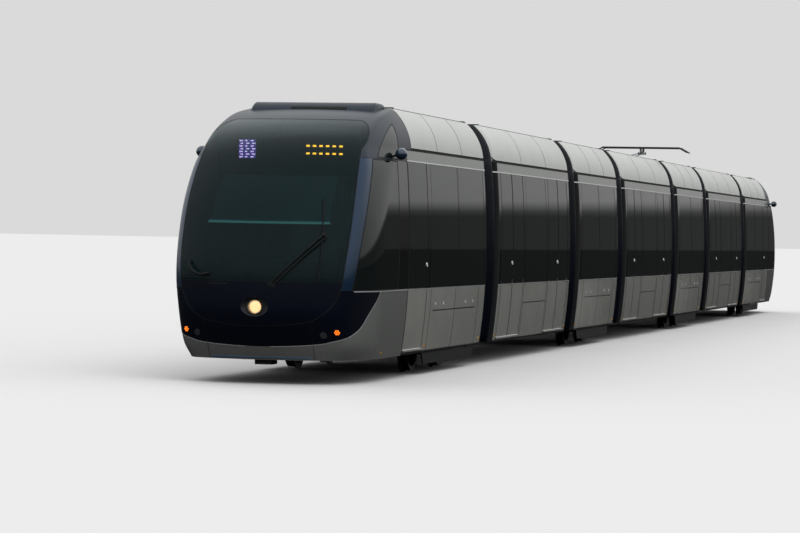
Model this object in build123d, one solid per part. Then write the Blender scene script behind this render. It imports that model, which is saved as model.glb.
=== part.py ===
from build123d import *
import math
import os

# A seven-section low-floor tram, built as a model at half of full size. Every size is the model's
# own, in millimetres. +X runs forward, +Y to the tram's left, +Z up, and z = 0 is the lowest point
# of the wheel flanges.

# Lengths along the tram
SUSPENDED_PITCH = 3210     # pivot to pivot across a car that hangs between its neighbours
BOGIE_PITCH = 2330         # pivot to pivot across a short car on a bogie of its own
CAB_LENGTH = 3775          # end pivot to nose tip
END_GAP = 175              # pivot to the end face of the car on either side
PIVOT_1 = SUSPENDED_PITCH / 2
PIVOT_2 = PIVOT_1 + BOGIE_PITCH
PIVOT_3 = PIVOT_2 + SUSPENDED_PITCH

# Section across the tram: the side is two arcs that meet at its widest level, under a coved roof
HALF_WIDTH = 600
WIDEST = 750
UPPER_RADIUS = 6500
LOWER_RADIUS = 4450
SILL = 142                 # underside of the floor
FLOOR = 187                # walking level between the bogies
WALL_TOP = 1390
GUTTER_HEIGHT = 12
GUTTER_DEPTH = 15
COVE_RADIUS = 360
COVE_MIDDLE = (HALF_WIDTH - 394, 1367)
COVE_SKIN = 25
ROOF_TOP = 1642
INNER_FACE = HALF_WIDTH - 65
CEILING = 1330
DECK = 1480                # floor of the roof well
WELL_HALF_WIDTH = HALF_WIDTH - 227
ROOF_FOOT = WALL_TOP + GUTTER_HEIGHT

# Car ends
BULKHEAD = 50
END_ROUND = 45
PASSAGE_HALF_WIDTH = 400
PORTAL_TOP = 1250
WELL_END = 60              # thickness of the bulkhead that closes each end of a roof well

# Windows and doors
WAIST = 547
WINDOW_TOP = 1317
PANE = 8
PANE_GAP = 1.5
PANE_LIP = 20
PANE_SEAT = 0.3            # bead of glue behind a pane
DOOR_FOOT = 172
DOOR_TOP = 1330
LEAF = 24
LEAF_GAP = 2.5
LEAF_SEAT = 0.3
LEAF_FRAME = 28
THRESHOLD = (10, 8)        # how thick the step edge under a door is, and how far it stands out
CAB_SIDE_END = CAB_LENGTH - 1270   # end pivot to where the side wall meets the nose
CAB_ROOF_END = CAB_LENGTH - 1420   # end pivot to where the roof meets the nose
CAB_DOOR = (CAB_SIDE_END - 520, CAB_SIDE_END - 10)
MULLION = 24
CAB_PANES = (END_GAP + 120, CAB_DOOR[0] - 105)
CAB_MULLION = (CAB_PANES[0] + CAB_PANES[1]) / 2
BOGIE_PANES = BOGIE_PITCH / 2 - END_GAP - 190

# Windows: kind of car, low x, high x, from the car's centre, or from its pivot on a cab car
WINDOWS = {
    "suspended": [(-390, 390)],
    "bogie": [(-BOGIE_PANES, -MULLION / 2), (MULLION / 2, BOGIE_PANES)],
    "cab": [(CAB_PANES[0], CAB_MULLION - MULLION / 2), (CAB_MULLION + MULLION / 2, CAB_PANES[1])],
}
# Doorways: low x, high x, number of leaves
DOORWAYS = {
    "suspended": [(-1285, -485, 2), (485, 1285, 2)],
    "bogie": [],
    "cab": [(*CAB_DOOR, 1)],
}

# Wheels and bogies
TREAD_RADIUS = 147.5
FLANGE_RADIUS = TREAD_RADIUS + 12
WHEELBASE = 800
WHEEL_INNER = 342          # distance from the middle to a wheel's inner and outer face
WHEEL_OUTER = 404
HUB_RADIUS = 46
RIM = 26                   # depth of the rim under the tread
WEB = 14
AXLE_RADIUS = 28
AXLE_CLEARANCE = 0.1
BEAM = (250, 315)          # low and high distance of a side beam from the middle
BEAM_HALF_HEIGHT = 40
BEAM_TIP = 110             # how far a beam reaches past its axles
BEAM_DROP = (250, 20, 155)  # half length and extra depth of a beam's low middle, and its top there
SPRING = (120, 34)         # distance of a spring from the bogie's middle, and its radius
MOTOR = (475, 148, 46, 420)   # y, z, radius and length of each motor
CROSS_BEAM = (80, 102, 150)   # half width, underside and top
HANGER = (60, 20, 100, 130)   # distance from the middle, half width, underside and top
BOGIE_BAY = WHEELBASE / 2 + 210   # half length of the space for a bogie
BAY_TOP = 205
AISLE_FLOOR = 237
AISLE_HALF_WIDTH = 320
BOX_WALL = 14
BOX_CEILING = 335
BOX_TOP = 350
BAY_SKIN = INNER_FACE - 5  # outer wall of the bogie space
RAMP = 190
SKIRT = (HALF_WIDTH - 58, HALF_WIDTH - 50, 67, 138, 765, 715)   # y, z, half length above, below
CAB_BOGIE = 1140           # end pivot to the middle of the cab car's bogie

# Jacking pads under the floor, and the towing bracket under each nose
PAD_SIZE = 70
PAD_DROP = 8
PAD_Y = INNER_FACE - 35
PADS = {"suspended": [], "bogie": [-690, 690], "cab": [CAB_BOGIE - 670, CAB_BOGIE + 710]}
TOW_BRACKET = (210, 330, 50, 112)   # low and high set-back, half width, underside
TOW_BORE = (270, 12.5, 40)          # set-back, radius, depth

# Joint between two cars
DISC_RADIUS = 330
DISC_THICKNESS = 12
POCKET_GAP = 6
PIN_RADIUS = 20
PIN_CLEARANCE = 0.05
TONGUE = (108, 136)        # low and high z
BRACKET = (78, 98)
ARM_HALF_WIDTH = 60
ARM_ROOT = 90              # how far an arm reaches under its own car
COLLAR_RADIUS = 36
SEAT_CLEARANCE = 0.3
BELLOWS_INSET = 58
BELLOWS_WALL = 30
BELLOWS_FOOT = 148
BELLOWS_FLOOR = 16

# Seats: x, which way they face, level they stand on, for one side of a car
SEATS = {
    "suspended": [(-330, 1, FLOOR), (330, -1, FLOOR)],
    "bogie": [(-480, 1, BOX_TOP), (-60, -1, BOX_TOP), (60, 1, BOX_TOP), (480, -1, BOX_TOP)],
    "cab": [(CAB_BOGIE - 480, 1, BOX_TOP), (CAB_BOGIE - 60, -1, BOX_TOP),
            (CAB_BOGIE + 60, 1, BOX_TOP), (CAB_BOGIE + 480, -1, BOX_TOP)],
}
# Grab poles: x, how far from the middle
POLES = {
    "suspended": [(-1340, 420), (-430, 440), (430, 440), (1340, 420)],
    "bogie": [(-830, 440), (830, 440)],
    "cab": [(310, 440), (1960, 440)],
}
SEAT_WIDTH = (INNER_FACE - 205, INNER_FACE - 5)   # low and high distance from the middle
SEAT_RISE = 220            # top of the cushion above the walking level
SEAT_DEPTH = 215
SEAT_BACK = 400            # top of the back above the walking level
POLE_RADIUS = 9

# Units on the roof: low x, high x, half width, top, number of fans
ROOF_UNITS = {
    "suspended": [(-1250, -150, 330, 1610, 2), (150, 1250, 330, 1610, 2)],
    "bogie": [(-860, -640, 300, 1560, 0), (640, 860, 300, 1560, 0)],
    "cab": [(380, 1440, 330, 1610, 2), (1560, 2120, 320, 1600, 1)],
}
UNIT_BEVEL = 30
FAN = (115, 30, 16)        # radius of its opening and hub, and the depth of the opening

# Nose: height, set-back from the tip, radius of the corners, where the sides begin to curve
NOSE_SECTIONS = [
    (142, 140, 150, 831),
    (237, 80, 150, 711),
    (440, 2, 150, 657),
    (593, 0, 150, 637),
    (941, 105, 150, 696),
    (1250, 300, 100, 876),
    (1402, 464, 60, 1085),
    (1540, 775, 60, 1290),
    (1630, 1240, 60, 1450),
]
FRONT_RADIUS = 900
SIDE_RADIUS = 1400
NOSE_BACK = 1700           # the lofted form runs this far back before it is cut
NOSE_SHELL = 25
NOSE_JOINT = 0.6           # between the nose's moulded panels
NOSE_SPLIT = 1315          # joint between the pillars and the crown
SCREEN_FOOT = 592
SCREEN_LIP = 16
POST = 470                 # the pillars begin this far from the middle, under the screen

# Edge of the black mask round the windscreen, by threes on arcs: y, z, and how far each point
# moves in y and z for a millimetre of inset
MASK_EDGE = [
    (0, 337, 0, 1),
    (150, 344, 0, 1),
    (300, 364, -0.2, 1),
    (431, 462, -0.8, 0.6),
    (478, 580, -1, 0),
    (497, 1050, -1, 0),
    (486, 1365, -1, 0),
    (462, 1515, -0.8, -0.6),
    (390, 1547, 0, -1),
    (0, 1547, 0, -1),
]
# Panes in the nose's side, the first three points on an arc: set-back, z, and their moves
SIDE_PANE = [
    (196, 547, 1.1, 1),
    (306, 850, 0.9, 0),
    (593, 1309, 1.5, -1),
    (1020, 1309, -1, -1),
    (1020, 547, -1, 1),
]
QUARTER_PANE = [
    (664, 1322, 2.5, 1),
    (860, 1442, 0.5, -0.9),
    (1118, 1537, -0.6, -2.2),
    (1058, 1322, -1.1, 1),
]
LAMPS = [
    # y, z, radius, how far behind the tip its housing ends
    (0, 447, 41, 90),
    (447, 308, 20, 250),
    (-447, 308, 20, 250),
    (375, 290, 20, 220),
    (-375, 290, 20, 220),
]
LAMP_GAP = 0.5
CAMERA = (941, HALF_WIDTH + 17, 1352)   # set-back, y and z of each rear-view camera
CAMERA_PROFILE = [(-34, 0), (-34, 22), (-18, 36), (14, 38), (32, 28), (38, 14), (38, 0)]
CAMERA_ARM = (1080, 9)     # set-back of its foot, radius
# Side view of the hood over the cab: set-back, z
HOOD_PROFILE = [(1160, 1600), (1205, 1646), (1262, 1668), (1420, 1668), (1420, 1600)]
HOOD_HALF_WIDTH = HALF_WIDTH - 208
HOOD_BEVEL = 20

# Inside the cab: set-back, z of each profile
DESK = [(150, FLOOR), (150, 560), (330, 588), (560, 560), (650, 512), (650, 480), (470, 440), (440, FLOOR)]
DESK_CLEARANCE = 6
DRIVER_SEAT = [(1010, 400), (1044, 700), (1012, 700), (972, 408), (800, 415), (785, 398), (800, 370)]
DRIVER_SEAT_HALF = 115
PEDESTAL = (900, 50)       # set-back, radius
PARTITION = (12, 20, 520)  # distance from the nose's joint, thickness, half width
PARTITION_LIGHT = (430, 720, 1260)   # half width, low and high z of its window

# Pantograph, on the roof of car 5
LOWER_ARM = 850
UPPER_ARM = 900
BASE_PIVOT = (-430, 1610)  # x from the car's centre, z
LOWER_SLOPE = 6
UPPER_SLOPE = 4
KNEE = (BASE_PIVOT[0] + LOWER_ARM * math.cos(math.radians(LOWER_SLOPE)),
        BASE_PIVOT[1] + LOWER_ARM * math.sin(math.radians(LOWER_SLOPE)))
HEAD_PIVOT = (KNEE[0] - UPPER_ARM * math.cos(math.radians(UPPER_SLOPE)),
              KNEE[1] + UPPER_ARM * math.sin(math.radians(UPPER_SLOPE)))
BASE_FRAME = (-520, 480, 260, 40, 1545, 1575)   # low and high x, half width, rail, z
INSULATORS = (-470, 430)
INSULATOR = [(14, 0), (22, 10), (14, 14), (22, 24), (14, 28), (22, 38), (14, 42)]   # radius, height
LUG = (30, 66, 86)         # radius, low and high y of each ear on the base
BASE_PIN = 14
LOWER_TUBE = 20
LOWER_BOSS = (28, 60)      # radius, half length
ARM_PIN = 10
KNEE_BOSS = (22, 25, 42)   # radius, half length inside, and outside
HEAD_PIN = 8
HEAD_BOSS = (14, 24)
UPPER_TUBE = (5, 36)       # radius, distance from the middle
PLATE = 6                  # half thickness of the upper arm's end plates
STRIP_HALF_LENGTH = 400
STRIP_SPACING = 180
STRIP_RISE = 50
STRIP = (15, 15)           # half width, height
CARRIER = (10, 8, 22)      # half width, low and high z above the head's pivot
HORN = (7, 5, 80, 47)      # radius, how far in it starts, how far out and down it ends

# Every car: number, kind, where its centre or pivot is, whether it faces backwards
CARS = [
    (1, "cab", PIVOT_3, False),
    (2, "suspended", PIVOT_2 + SUSPENDED_PITCH / 2, False),
    (3, "bogie", PIVOT_1 + BOGIE_PITCH / 2, False),
    (4, "suspended", 0, False),
    (5, "bogie", -PIVOT_1 - BOGIE_PITCH / 2, True),
    (6, "suspended", -PIVOT_2 - SUSPENDED_PITCH / 2, True),
    (7, "cab", -PIVOT_3, True),
]
# Every pivot: number, x, whether the car that carries the pin is the one ahead
PIVOTS = [
    (1, PIVOT_3, True),
    (2, PIVOT_2, False),
    (3, PIVOT_1, True),
    (4, -PIVOT_1, False),
    (5, -PIVOT_2, True),
    (6, -PIVOT_3, False),
]
BOGIES = [PIVOT_3 + CAB_BOGIE, PIVOT_1 + BOGIE_PITCH / 2,
          -PIVOT_1 - BOGIE_PITCH / 2, -PIVOT_3 - CAB_BOGIE]


def side_width(z, inset=0):
    """The side wall's distance from the middle at a height."""
    radius = UPPER_RADIUS if z > WIDEST else LOWER_RADIUS
    return HALF_WIDTH - inset - radius + math.sqrt(radius**2 - (z - WIDEST)**2)


def cove_width(z, inset=0):
    """The roof cove's distance from the middle at a height."""
    return COVE_MIDDLE[0] + math.sqrt((COVE_RADIUS - inset)**2 - (z - COVE_MIDDLE[1])**2)


def half_width(z):
    """The body's half width at a height."""
    return side_width(z) if z < ROOF_FOOT else cove_width(z)


def block(x0, x1, y0, y1, z0, z1):
    """A box between two corners."""
    return Pos((x0 + x1) / 2, (y0 + y1) / 2, (z0 + z1) / 2) * Box(x1 - x0, y1 - y0, z1 - z0)


def both_sides(shape):
    """A shape and its mirror image across the tram's middle."""
    return shape + mirror(shape, about=Plane.XZ)


def rod_y(x, z, radius, y0, y1):
    """A round bar along Y."""
    return Pos(x, (y0 + y1) / 2, z) * Rot(90, 0, 0) * Cylinder(radius, y1 - y0)


def rod_z(x, y, radius, z0, z1):
    """A round bar along Z."""
    return Pos(x, y, (z0 + z1) / 2) * Cylinder(radius, z1 - z0)


def bar(start, end, radius):
    """A round bar between two points."""
    run = Vector(*end) - Vector(*start)
    return Plane(origin=start, z_dir=run) * Cylinder(radius, run.length,
                                                     align=(Align.CENTER, Align.CENTER, Align.MIN))


def along_x(sketch, x0, x1):
    """A sketch of the section across the tram, drawn out from x0 to x1."""
    return extrude(Plane.YZ.offset(x0) * sketch, x1 - x0)


def profile(points, y0, y1):
    """A side view with straight edges, drawn out from y0 to y1."""
    return extrude(Plane.XZ.offset(-y0) * make_face(Polyline(*points, close=True)), y0 - y1)


def mirrored_face(edges):
    """The face inside a right-hand outline and its mirror image."""
    right = Curve() + edges
    return make_face(right + mirror(right, about=Plane.YZ))


def section_arc(width, low, high, inset):
    """The surface between two heights that lie on one arc."""
    middle = (low + high) / 2
    return ThreePointArc((width(low, inset), low), (width(middle, inset), middle),
                         (width(high, inset), high))


def side_outline(foot, top, inset=0):
    """The section between two levels of the side."""
    return mirrored_face([
        Line((0, foot), (side_width(foot, inset), foot)),
        section_arc(side_width, foot, WIDEST, inset),
        section_arc(side_width, WIDEST, top, inset),
        Line((side_width(top, inset), top), (0, top)),
    ])


def roof_outline():
    """Gutter neck and cove, up to the flat of the roof."""
    foot = cove_width(ROOF_FOOT)
    neck = foot - GUTTER_DEPTH
    return mirrored_face([
        Line((0, WALL_TOP), (neck, WALL_TOP)),
        Line((neck, WALL_TOP), (neck, ROOF_FOOT)),
        Line((neck, ROOF_FOOT), (foot, ROOF_FOOT)),
        section_arc(cove_width, ROOF_FOOT, ROOF_TOP, 0),
        Line((cove_width(ROOF_TOP), ROOF_TOP), (0, ROOF_TOP)),
    ])


def well_outline():
    """The open well between the two coves, which overhang it."""
    ledge = ROOF_TOP - COVE_SKIN
    above = ROOF_TOP + 10
    return mirrored_face([
        Line((0, DECK), (cove_width(DECK, COVE_SKIN), DECK)),
        section_arc(cove_width, DECK, ledge, COVE_SKIN),
        Line((cove_width(ledge, COVE_SKIN), ledge), (WELL_HALF_WIDTH, ledge)),
        Line((WELL_HALF_WIDTH, ledge), (WELL_HALF_WIDTH, above)),
        Line((WELL_HALF_WIDTH, above), (0, above)),
    ])


def rounded_ends(shape, ends, side):
    """The shape with the outer edges of its end faces rounded."""
    edges = [edge for edge in shape.edges()
             for x in ends
             if abs(edge.center().X - x) < 0.5 and abs(edge.center().Y) > side]
    return fillet(edges, END_ROUND)


def car_ends(kind):
    """Low and high x of a car's side walls, and those of the two that meet another car."""
    if kind == "cab":
        return END_GAP, CAB_SIDE_END, [END_GAP]
    pitch = SUSPENDED_PITCH if kind == "suspended" else BOGIE_PITCH
    end = pitch / 2 - END_GAP
    return -end, end, [-end, end]


def joint_arm(z0, z1):
    """A round-ended arm at a pivot, reaching back under the car on its -X side."""
    arm = block(-END_GAP - ARM_ROOT, 0, -ARM_HALF_WIDTH, ARM_HALF_WIDTH, z0, z1)
    root = block(-END_GAP - ARM_ROOT, -END_GAP, -ARM_HALF_WIDTH, ARM_HALF_WIDTH, z0, SILL + 10)
    return arm + root + rod_z(0, 0, ARM_HALF_WIDTH, z0, z1)


def pin_end():
    """Bracket, collar and pin below the gangway, with the round floor plate above them."""
    disc = rod_z(0, 0, DISC_RADIUS, FLOOR - DISC_THICKNESS, FLOOR)
    collar = rod_z(0, 0, COLLAR_RADIUS, BRACKET[1], TONGUE[0] - SEAT_CLEARANCE)
    pin = rod_z(0, 0, PIN_RADIUS, BRACKET[0], TONGUE[1] + 3)
    return disc + joint_arm(*BRACKET) + collar + pin


def tongue_end():
    """The tongue that takes the pin."""
    return joint_arm(*TONGUE) - rod_z(0, 0, PIN_RADIUS + PIN_CLEARANCE, TONGUE[0] - 1, TONGUE[1] + 1)


def at_pivot(shape, x, high_end):
    """A joint piece placed on a pivot at the car's high or low end."""
    return Pos(x, 0, 0) * (shape if high_end else Rot(0, 0, 180) * shape)


def car_pivots(kind):
    """Where a car's pivots are: x, and whether it is the car's high end."""
    if kind == "cab":
        return [(0, False)]
    pitch = SUSPENDED_PITCH if kind == "suspended" else BOGIE_PITCH
    return [(-pitch / 2, False), (pitch / 2, True)]


def bogie_middle(kind):
    """Where a car's bogie is, along its own x."""
    return {"cab": CAB_BOGIE, "bogie": 0, "suspended": None}[kind]


def make_body(kind):
    """Floor, side walls and end portals, with windows, doorways and the bogie's space."""
    low, high, ends = car_ends(kind)
    outside = HALF_WIDTH + 1
    body = rounded_ends(along_x(side_outline(SILL, WALL_TOP), low, high), ends, PASSAGE_HALF_WIDTH)
    low_inside = low + BULKHEAD
    high_inside = high + 1 if kind == "cab" else high - BULKHEAD
    body -= block(low_inside, high_inside, -INNER_FACE, INNER_FACE, FLOOR, WALL_TOP + 1)
    body -= block(low - 1, high + 1, -PASSAGE_HALF_WIDTH, PASSAGE_HALF_WIDTH, FLOOR, PORTAL_TOP)

    middle = bogie_middle(kind)
    if middle is not None:
        body = add_bogie_bay(body, middle)
    behind_panes = along_x(side_outline(SILL, WALL_TOP, PANE + PANE_SEAT), low, high)
    for x0, x1 in WINDOWS[kind]:
        rebate = block(x0, x1, INNER_FACE - 1, outside, WAIST, WINDOW_TOP) - behind_panes
        light = block(x0 + PANE_LIP, x1 - PANE_LIP, INNER_FACE - 1, outside,
                      WAIST + PANE_LIP, WINDOW_TOP - PANE_LIP)
        body -= both_sides(rebate + light)
    thickness, proud = THRESHOLD
    step = side_width(DOOR_FOOT)
    for x0, x1, _ in DOORWAYS[kind]:
        body -= both_sides(block(x0, x1, INNER_FACE - 1, outside, DOOR_FOOT, DOOR_TOP))
        body += both_sides(block(x0, x1, step - thickness, step + proud, DOOR_FOOT - thickness, DOOR_FOOT))

    half = PAD_SIZE / 2
    for x in PADS[kind]:
        body += both_sides(block(x - half, x + half, PAD_Y - half, PAD_Y + half,
                                 SILL - PAD_DROP, SILL))
    for x, high_end in car_pivots(kind):
        if kind == "suspended":
            body -= rod_z(x, 0, DISC_RADIUS + POCKET_GAP, FLOOR - DISC_THICKNESS - POCKET_GAP,
                          FLOOR + 1)
            body += at_pivot(tongue_end(), x, high_end)
        else:
            body += at_pivot(pin_end(), x, high_end)
    return body


def add_bogie_bay(body, middle):
    """Raise the floor and the wheel boxes over a bogie, and open the space under them."""
    half = BOGIE_BAY + BOX_WALL
    body += block(middle - half, middle + half, -INNER_FACE, INNER_FACE, SILL, BOX_TOP)
    body -= block(middle - half - 1, middle + half + 1, -AISLE_HALF_WIDTH, AISLE_HALF_WIDTH,
                  AISLE_FLOOR, BOX_TOP + 1)
    ramps = [(middle - half - RAMP, FLOOR), (middle + half + RAMP, FLOOR),
             (middle + half, AISLE_FLOOR), (middle - half, AISLE_FLOOR)]
    body += profile(ramps, -AISLE_HALF_WIDTH, AISLE_HALF_WIDTH)
    bay = (middle - BOGIE_BAY, middle + BOGIE_BAY)
    body -= block(*bay, -BAY_SKIN, BAY_SKIN, SILL - 1, BAY_TOP)
    body -= both_sides(block(*bay, AISLE_HALF_WIDTH + BOX_WALL, BAY_SKIN, SILL - 1, BOX_CEILING))
    return body


def make_roof(kind):
    """Ceiling, deck and coves, with the equipment that stands on the deck."""
    low, high, ends = car_ends(kind)
    if kind == "cab":
        high = CAB_ROOF_END
    roof = rounded_ends(along_x(roof_outline(), low, high), ends, cove_width(ROOF_TOP))
    roof -= along_x(well_outline(), low + WELL_END, high + 1 if kind == "cab" else high - WELL_END)
    ceiling_high = CAB_SIDE_END if kind == "cab" else high - BULKHEAD
    roof += block(low + BULKHEAD, ceiling_high, -INNER_FACE, INNER_FACE, CEILING, WALL_TOP)
    for unit in ROOF_UNITS[kind]:
        roof += roof_unit(*unit)
    return roof


def roof_unit(x0, x1, half, top, fans):
    """A covered unit on the deck, with bevelled top edges and round fan openings."""
    unit = block(x0, x1, -half, half, DECK, top)
    unit = chamfer(unit.faces().sort_by(Axis.Z)[-1].edges(), UNIT_BEVEL)
    radius, hub, depth = FAN
    for index in range(fans):
        x = x0 + (index + 0.5) * (x1 - x0) / fans
        unit -= rod_z(x, 0, radius, top - depth, top + 1) - rod_z(x, 0, hub, top - depth, top + 1)
    return unit


def leaf_spans(kind):
    """Low and high x of each door leaf of a car."""
    spans = []
    for x0, x1, count in DOORWAYS[kind]:
        width = (x1 - x0) / count
        spans += [(x0 + index * width + LEAF_GAP, x0 + (index + 1) * width - LEAF_GAP)
                  for index in range(count)]
    return spans


def make_doors(kind):
    """Door leaves, curved as the side is."""
    ends = car_ends(kind)[:2]
    shell = (along_x(side_outline(SILL, WALL_TOP), *ends)
             - along_x(side_outline(SILL, WALL_TOP, LEAF), *ends))
    behind_panes = along_x(side_outline(SILL, WALL_TOP, PANE + PANE_SEAT), *ends)
    outside = HALF_WIDTH + 1
    leaves = []
    for x0, x1 in leaf_spans(kind):
        leaf = shell & block(x0, x1, 0, outside, DOOR_FOOT + LEAF_SEAT, DOOR_TOP - LEAF_GAP)
        leaf -= block(x0 + LEAF_FRAME / 2, x1 - LEAF_FRAME / 2, 0, outside, WAIST,
                      WINDOW_TOP) - behind_panes
        leaf -= block(x0 + LEAF_FRAME, x1 - LEAF_FRAME, 0, outside, WAIST + PANE_LIP,
                      WINDOW_TOP - PANE_LIP)
        leaves += [leaf, mirror(leaf, about=Plane.XZ)]
    return leaves


def make_panes(kind):
    """Panes, curved and flush with the side, for the windows and the door leaves."""
    ends = car_ends(kind)[:2]
    skin = (along_x(side_outline(SILL, WALL_TOP), *ends)
            - along_x(side_outline(SILL, WALL_TOP, PANE), *ends))
    inset = LEAF_FRAME / 2 + PANE_GAP
    spans = [(x0 + PANE_GAP, x1 - PANE_GAP) for x0, x1 in WINDOWS[kind]]
    spans += [(x0 + inset, x1 - inset) for x0, x1 in leaf_spans(kind)]
    panes = []
    for x0, x1 in spans:
        pane = skin & block(x0, x1, 0, HALF_WIDTH + 1, WAIST + PANE_GAP, WINDOW_TOP - PANE_GAP)
        panes += [pane, mirror(pane, about=Plane.XZ)]
    return panes


def seat(x, facing, level):
    """A seat with its back at x, on a plinth."""
    walk = AISLE_FLOOR if level == BOX_TOP else FLOOR
    top, back = walk + SEAT_RISE, walk + SEAT_BACK
    side = [(0, level), (SEAT_DEPTH - 60, level), (SEAT_DEPTH - 30, top - 35),
            (SEAT_DEPTH, top - 30), (SEAT_DEPTH, top), (28, top - 8), (8, back),
            (-16, back), (0, top - 40)]
    shape = profile(side, *SEAT_WIDTH)
    return Pos(x, 0, 0) * (shape if facing > 0 else mirror(shape, about=Plane.YZ))


def make_seats(kind):
    """Seats along both windows and the grab poles."""
    solids = []
    for x, facing, level in SEATS[kind]:
        one = seat(x, facing, level)
        solids += [one, mirror(one, about=Plane.XZ)]
    for x, y in POLES[kind]:
        pole = rod_z(x, y, POLE_RADIUS, FLOOR, CEILING)
        solids += [pole, mirror(pole, about=Plane.XZ)]
    return solids


def set_back(points):
    """Points of a side view that are given by their set-back from the tip."""
    return [(CAB_LENGTH - back, z) for back, z in points]


def make_cab_inside():
    """The driver's desk and seat, and the partition behind them."""
    desk = profile(set_back(DESK), -HALF_WIDTH, HALF_WIDTH) & nose_form(NOSE_SHELL + DESK_CLEARANCE)
    for y, z, radius, back in LAMPS:
        room = Cylinder(radius + DESK_CLEARANCE, back + 10, align=(Align.CENTER, Align.CENTER, Align.MIN))
        desk -= Pos(CAB_LENGTH - back - DESK_CLEARANCE, y, z) * Rot(0, 90, 0) * room
    chair = profile(set_back(DRIVER_SEAT), -DRIVER_SEAT_HALF, DRIVER_SEAT_HALF)
    back, radius = PEDESTAL
    chair += rod_z(CAB_LENGTH - back, 0, radius, FLOOR, DRIVER_SEAT[0][1])
    from_joint, thickness, half = PARTITION
    x = CAB_SIDE_END + from_joint
    partition = block(x, x + thickness, -half, half, FLOOR, CEILING)
    light, low, high = PARTITION_LIGHT
    partition -= block(x - 1, x + thickness + 1, -light, light, low, high)
    return [desk, chair, partition]


def make_bellows(pin_ahead):
    """The folding tube round a gangway: it stands on the pin's car and stops short of the other."""
    inset = BELLOWS_INSET
    top = ROOF_TOP - inset
    outer = mirrored_face([
        Line((0, BELLOWS_FOOT), (side_width(BELLOWS_FOOT, inset), BELLOWS_FOOT)),
        section_arc(side_width, BELLOWS_FOOT, WIDEST, inset),
        section_arc(side_width, WIDEST, WALL_TOP, inset),
        Line((side_width(WALL_TOP, inset), WALL_TOP), (cove_width(ROOF_FOOT, inset), ROOF_FOOT)),
        section_arc(cove_width, ROOF_FOOT, top, inset),
        Line((cove_width(top, inset), top), (0, top)),
    ])
    inner = side_outline(BELLOWS_FOOT + BELLOWS_FLOOR, CEILING, inset + BELLOWS_WALL)
    low, high = -END_GAP, END_GAP
    if pin_ahead:
        low += SEAT_CLEARANCE
    else:
        high -= SEAT_CLEARANCE
    return along_x(outer - inner, low, high)


def wheel_outline():
    """Half section of a wheel: hub, web, rim, tread and flange; first number is the radius."""
    inner, outer = WHEEL_INNER, WHEEL_OUTER
    rim = TREAD_RADIUS - RIM
    return [
        (0, inner), (HUB_RADIUS, inner), (HUB_RADIUS, inner + WEB), (rim, inner + WEB), (rim, inner),
        (FLANGE_RADIUS, inner), (FLANGE_RADIUS, inner + 8), (TREAD_RADIUS, inner + 17),
        (TREAD_RADIUS, outer), (rim, outer), (rim, inner + 2 * WEB), (HUB_RADIUS, inner + 2 * WEB),
        (HUB_RADIUS, outer + 6), (0, outer + 6),
    ]


def make_wheelset():
    """Two wheels on their axle, at the origin of the bogie's x."""
    wheel = revolve(Plane.XY * make_face(Polyline(*wheel_outline(), close=True)), Axis.Y)
    wheelset = both_sides(wheel) + rod_y(0, 0, AXLE_RADIUS, -WHEEL_INNER, WHEEL_INNER)
    return Pos(0, 0, FLANGE_RADIUS) * wheelset


def make_bogie():
    """Side beams, cross beams, springs, motors and skirts of one bogie."""
    axle = WHEELBASE / 2
    high, low = FLANGE_RADIUS + BEAM_HALF_HEIGHT, FLANGE_RADIUS - BEAM_HALF_HEIGHT
    middle, drop, middle_top = BEAM_DROP
    half_beam = [
        (middle, low - drop), (axle - 60, low), (axle + 60, low), (axle + BEAM_TIP, low + 20),
        (axle + BEAM_TIP, high - 15), (axle + BEAM_TIP - 20, high), (axle - 90, high),
        (middle - 30, middle_top),
    ]
    beam = profile(half_beam + [(-x, z) for x, z in reversed(half_beam)], *BEAM)
    for x in (-axle, axle):
        beam -= rod_y(x, FLANGE_RADIUS, AXLE_RADIUS + AXLE_CLEARANCE, BEAM[0] - 1, BEAM[1] + 1)
    place, radius = SPRING
    for x in (-place, place):
        beam += rod_z(x, (BEAM[0] + BEAM[1]) / 2, radius, middle_top - 5, BAY_TOP)
    y, z, radius, length = MOTOR
    motor = Pos(0, y, z) * Rot(0, 90, 0) * Cylinder(radius, length)
    y0, y1, z0, z1, above, below = SKIRT
    skirt = profile([(-below, z0), (below, z0), (above, z1), (-above, z1)], y0, y1)
    place, half, under, top = HANGER
    hangers = [block(x - half, x + half, y, y0, under, top) for x in (-place, place)]
    half_cross, under, top = CROSS_BEAM
    cross = block(-half_cross, half_cross, -y - 30, y + 30, under, top)
    return both_sides(beam + motor + skirt + hangers[0] + hangers[1]) + cross


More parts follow.
